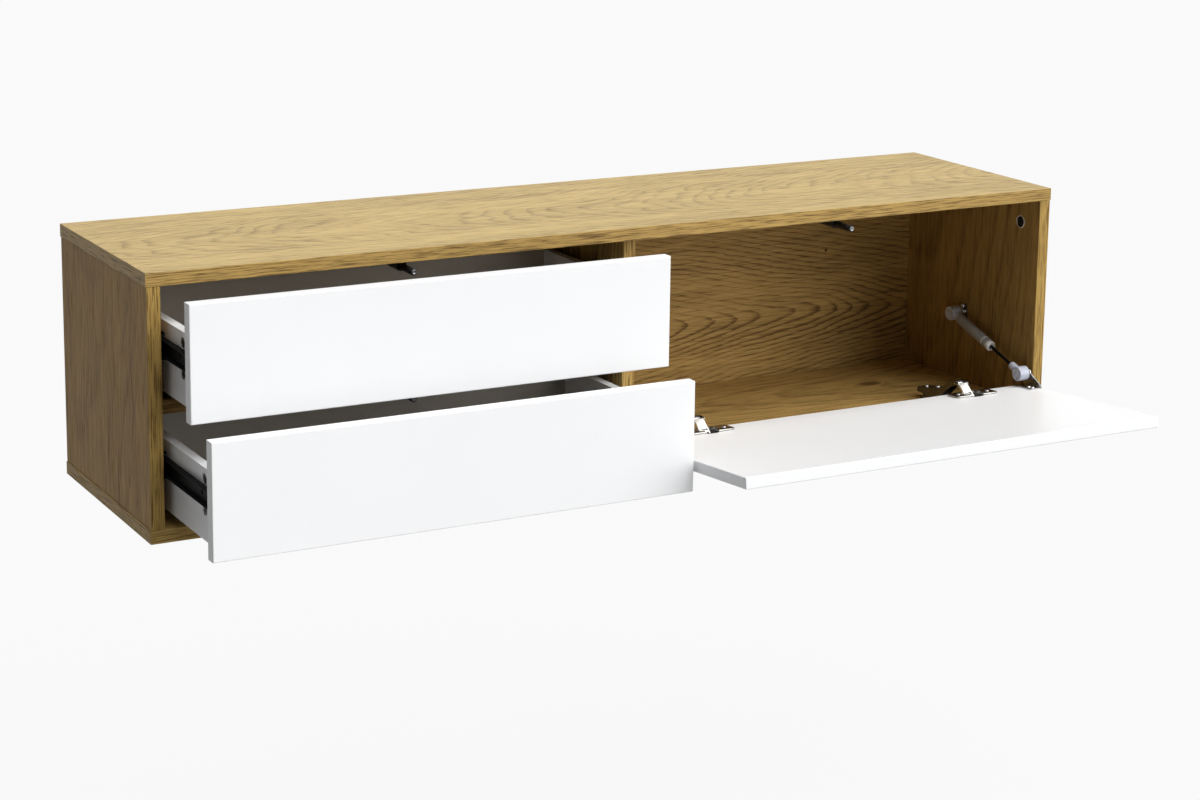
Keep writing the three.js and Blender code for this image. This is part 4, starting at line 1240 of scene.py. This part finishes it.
class CONSOLE_OT_cams(Step, bpy.types.Operator):
    """Finish the carcass cams in the sides"""

    bl_idname = "console.cams"
    bl_label = "Carcass cams"

    def build(self, scene):
        for node, way in (("left_cam", -1), ("right_cam", 1)):
            softened(node, "black_plastic", MOULDED_EDGE)
            low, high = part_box(node)
            radius = (high.z - low.z) / 2
            start = centre(node)
            start.x = side_x(node, -way) - way * RIM_SUNK
            inner, outer = radius - 0.0011, radius + 0.0002
            rim = [
                (inner, 0.0), (radius - 0.0002, 0.0), (outer, 0.0006),
                (outer, 0.0012), (inner, 0.0012), (inner, 0.0),
            ]
            # The cream ring paints the highlight along the cam's edge
            turned(node + "_rim", start, Vector((way, 0, 0)), rim, "rim", "carcass")


# The floor: how far it reaches, its grey, and how white it shows to the rays that see it
FLOOR_REACH = 40.0
FLOOR_GREY = 0.28
FLOOR_WHITE = 0.93

# The lamps: how wide the light of each spreads, where it comes from and how far off the lamp is
LAMP_SPREAD = math.radians(50)
FROM_ABOVE = Vector((0.15, -0.30, 1.00))
FROM_FRONT = Vector((0.52, -0.76, 0.42))
LAMP_AWAY = 3

# The camera that fits the photograph: its place, the ways to its right and up, and its lens
CAMERA_PLACE = (-1.723876, -3.393417, 0.819483)
CAMERA_RIGHT = Vector((0.8774299, -0.4795202, 0.0133096))
CAMERA_UP = Vector((0.0826670, 0.1784785, 0.9804650))
CAMERA_LENS = 78.7504
CAMERA_SENSOR = 36.0
CAMERA_SHIFT = (-0.0064935, -0.1413292)
CAMERA_SIGHT = 200.0


def seen_rays(nodes):
    """1 for rays that show the background: camera, glossy and transmission rays."""
    camera, glossy, through = (
        nodes.node("ShaderNodeLightPath", output=f"Is {kind} Ray")
        for kind in ("Camera", "Glossy", "Transmission")
    )
    return camera.at_least(glossy).at_least(through)


class CONSOLE_OT_stage(Step, bpy.types.Operator):
    """Lay the floor, hang the lights and set the camera"""

    bl_idname = "console.stage"
    bl_label = "Floor, light and camera"

    def build(self, scene):
        self.floor(scene)
        self.world(scene)
        self.lights(scene)
        self.camera(scene)
        scene.view_settings.view_transform = "Standard"

    def floor(self, scene):
        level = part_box("bottom_panel")[0].z - scene.console_stage.drop
        bm = bmesh.new()
        corners = [(-1, -1), (1, -1), (1, 1), (-1, 1)]
        bm.faces.new([bm.verts.new((x * FLOOR_REACH, y * FLOOR_REACH, level)) for x, y in corners])
        mesh = bpy.data.meshes.new("floor")
        bm.to_mesh(mesh)
        bm.free()
        floor = bpy.data.objects.new("floor", mesh)
        scene.collection.objects.link(floor)
        material = bpy.data.materials.new("pale_floor")
        nodes = Nodes(material)
        plain = nodes.node("ShaderNodeBsdfDiffuse", values={"Color": (FLOOR_GREY,) * 3})
        glow = nodes.node("ShaderNodeEmission")
        part = seen_rays(nodes) * FLOOR_WHITE
        mixed = nodes.node("ShaderNodeMixShader", values={0: part, 1: plain, 2: glow})
        nodes.node("ShaderNodeOutputMaterial", values={"Surface": mixed})
        mesh.materials.append(material)

    def world(self, scene):
        world = bpy.data.worlds.new("studio")
        nodes = Nodes(world)
        soft, white = (
            nodes.node("ShaderNodeBackground", values={"Color": (1, 1, 1), "Strength": level})
            for level in (scene.console_stage.fill, 1.0)
        )
        mixed = nodes.node("ShaderNodeMixShader", values={0: seen_rays(nodes), 1: soft, 2: white})
        nodes.node("ShaderNodeOutputWorld", values={"Surface": mixed})
        scene.world = world

    def lights(self, scene):
        stage = scene.console_stage
        for name, energy, towards in (
            ("soft_overhead", stage.above, FROM_ABOVE),
            ("soft_front", stage.front, FROM_FRONT),
        ):
            lamp = bpy.data.lights.new(name, "SUN")
            lamp.energy = energy
            lamp.angle = LAMP_SPREAD
            sun = bpy.data.objects.new(name, lamp)
            sun.rotation_euler = towards.to_track_quat("Z", "Y").to_euler()
            sun.location = towards * LAMP_AWAY
            scene.collection.objects.link(sun)

    def camera(self, scene):
        data = bpy.data.cameras.new("camera")
        data.lens = CAMERA_LENS
        data.sensor_width = CAMERA_SENSOR
        data.shift_x, data.shift_y = CAMERA_SHIFT
        data.clip_end = CAMERA_SIGHT
        camera = bpy.data.objects.new("camera", data)
        back = CAMERA_RIGHT.cross(CAMERA_UP)
        turn = Matrix((CAMERA_RIGHT, CAMERA_UP, back)).transposed().to_4x4()
        camera.matrix_world = Matrix.Translation(CAMERA_PLACE) @ turn
        scene.collection.objects.link(camera)
        scene.camera = camera


STEPS = (
    CONSOLE_OT_boards, CONSOLE_OT_hanging, CONSOLE_OT_drawers, CONSOLE_OT_slides,
    CONSOLE_OT_latches, CONSOLE_OT_flap, CONSOLE_OT_hinges, CONSOLE_OT_strut,
    CONSOLE_OT_cams, CONSOLE_OT_stage,
)


class CONSOLE_PT_steps(bpy.types.Panel):
    """The console's settings and the steps that build it"""

    bl_idname = "CONSOLE_PT_steps"
    bl_label = "Floating media console"
    bl_space_type = "VIEW_3D"
    bl_region_type = "UI"
    bl_category = "Console"

    def draw(self, context):
        for name, group in SETTINGS.items():
            box = self.layout.box()
            for setting in group.__annotations__:
                box.prop(getattr(context.scene, name), setting)
        for step in STEPS:
            self.layout.operator(step.bl_idname)


def register():
    for name, group in SETTINGS.items():
        bpy.utils.register_class(group)
        setattr(bpy.types.Scene, name, bpy.props.PointerProperty(type=group))
    for item in (*STEPS, CONSOLE_PT_steps):
        bpy.utils.register_class(item)


def unregister():
    for item in reversed((*STEPS, CONSOLE_PT_steps)):
        bpy.utils.unregister_class(item)
    for name, group in SETTINGS.items():
        delattr(bpy.types.Scene, name)
        bpy.utils.unregister_class(group)


def main():
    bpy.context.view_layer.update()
    register()
    for step in STEPS:
        area, name = step.bl_idname.split(".")
        getattr(getattr(bpy.ops, area), name)()


if __name__ == "__main__":
    main()
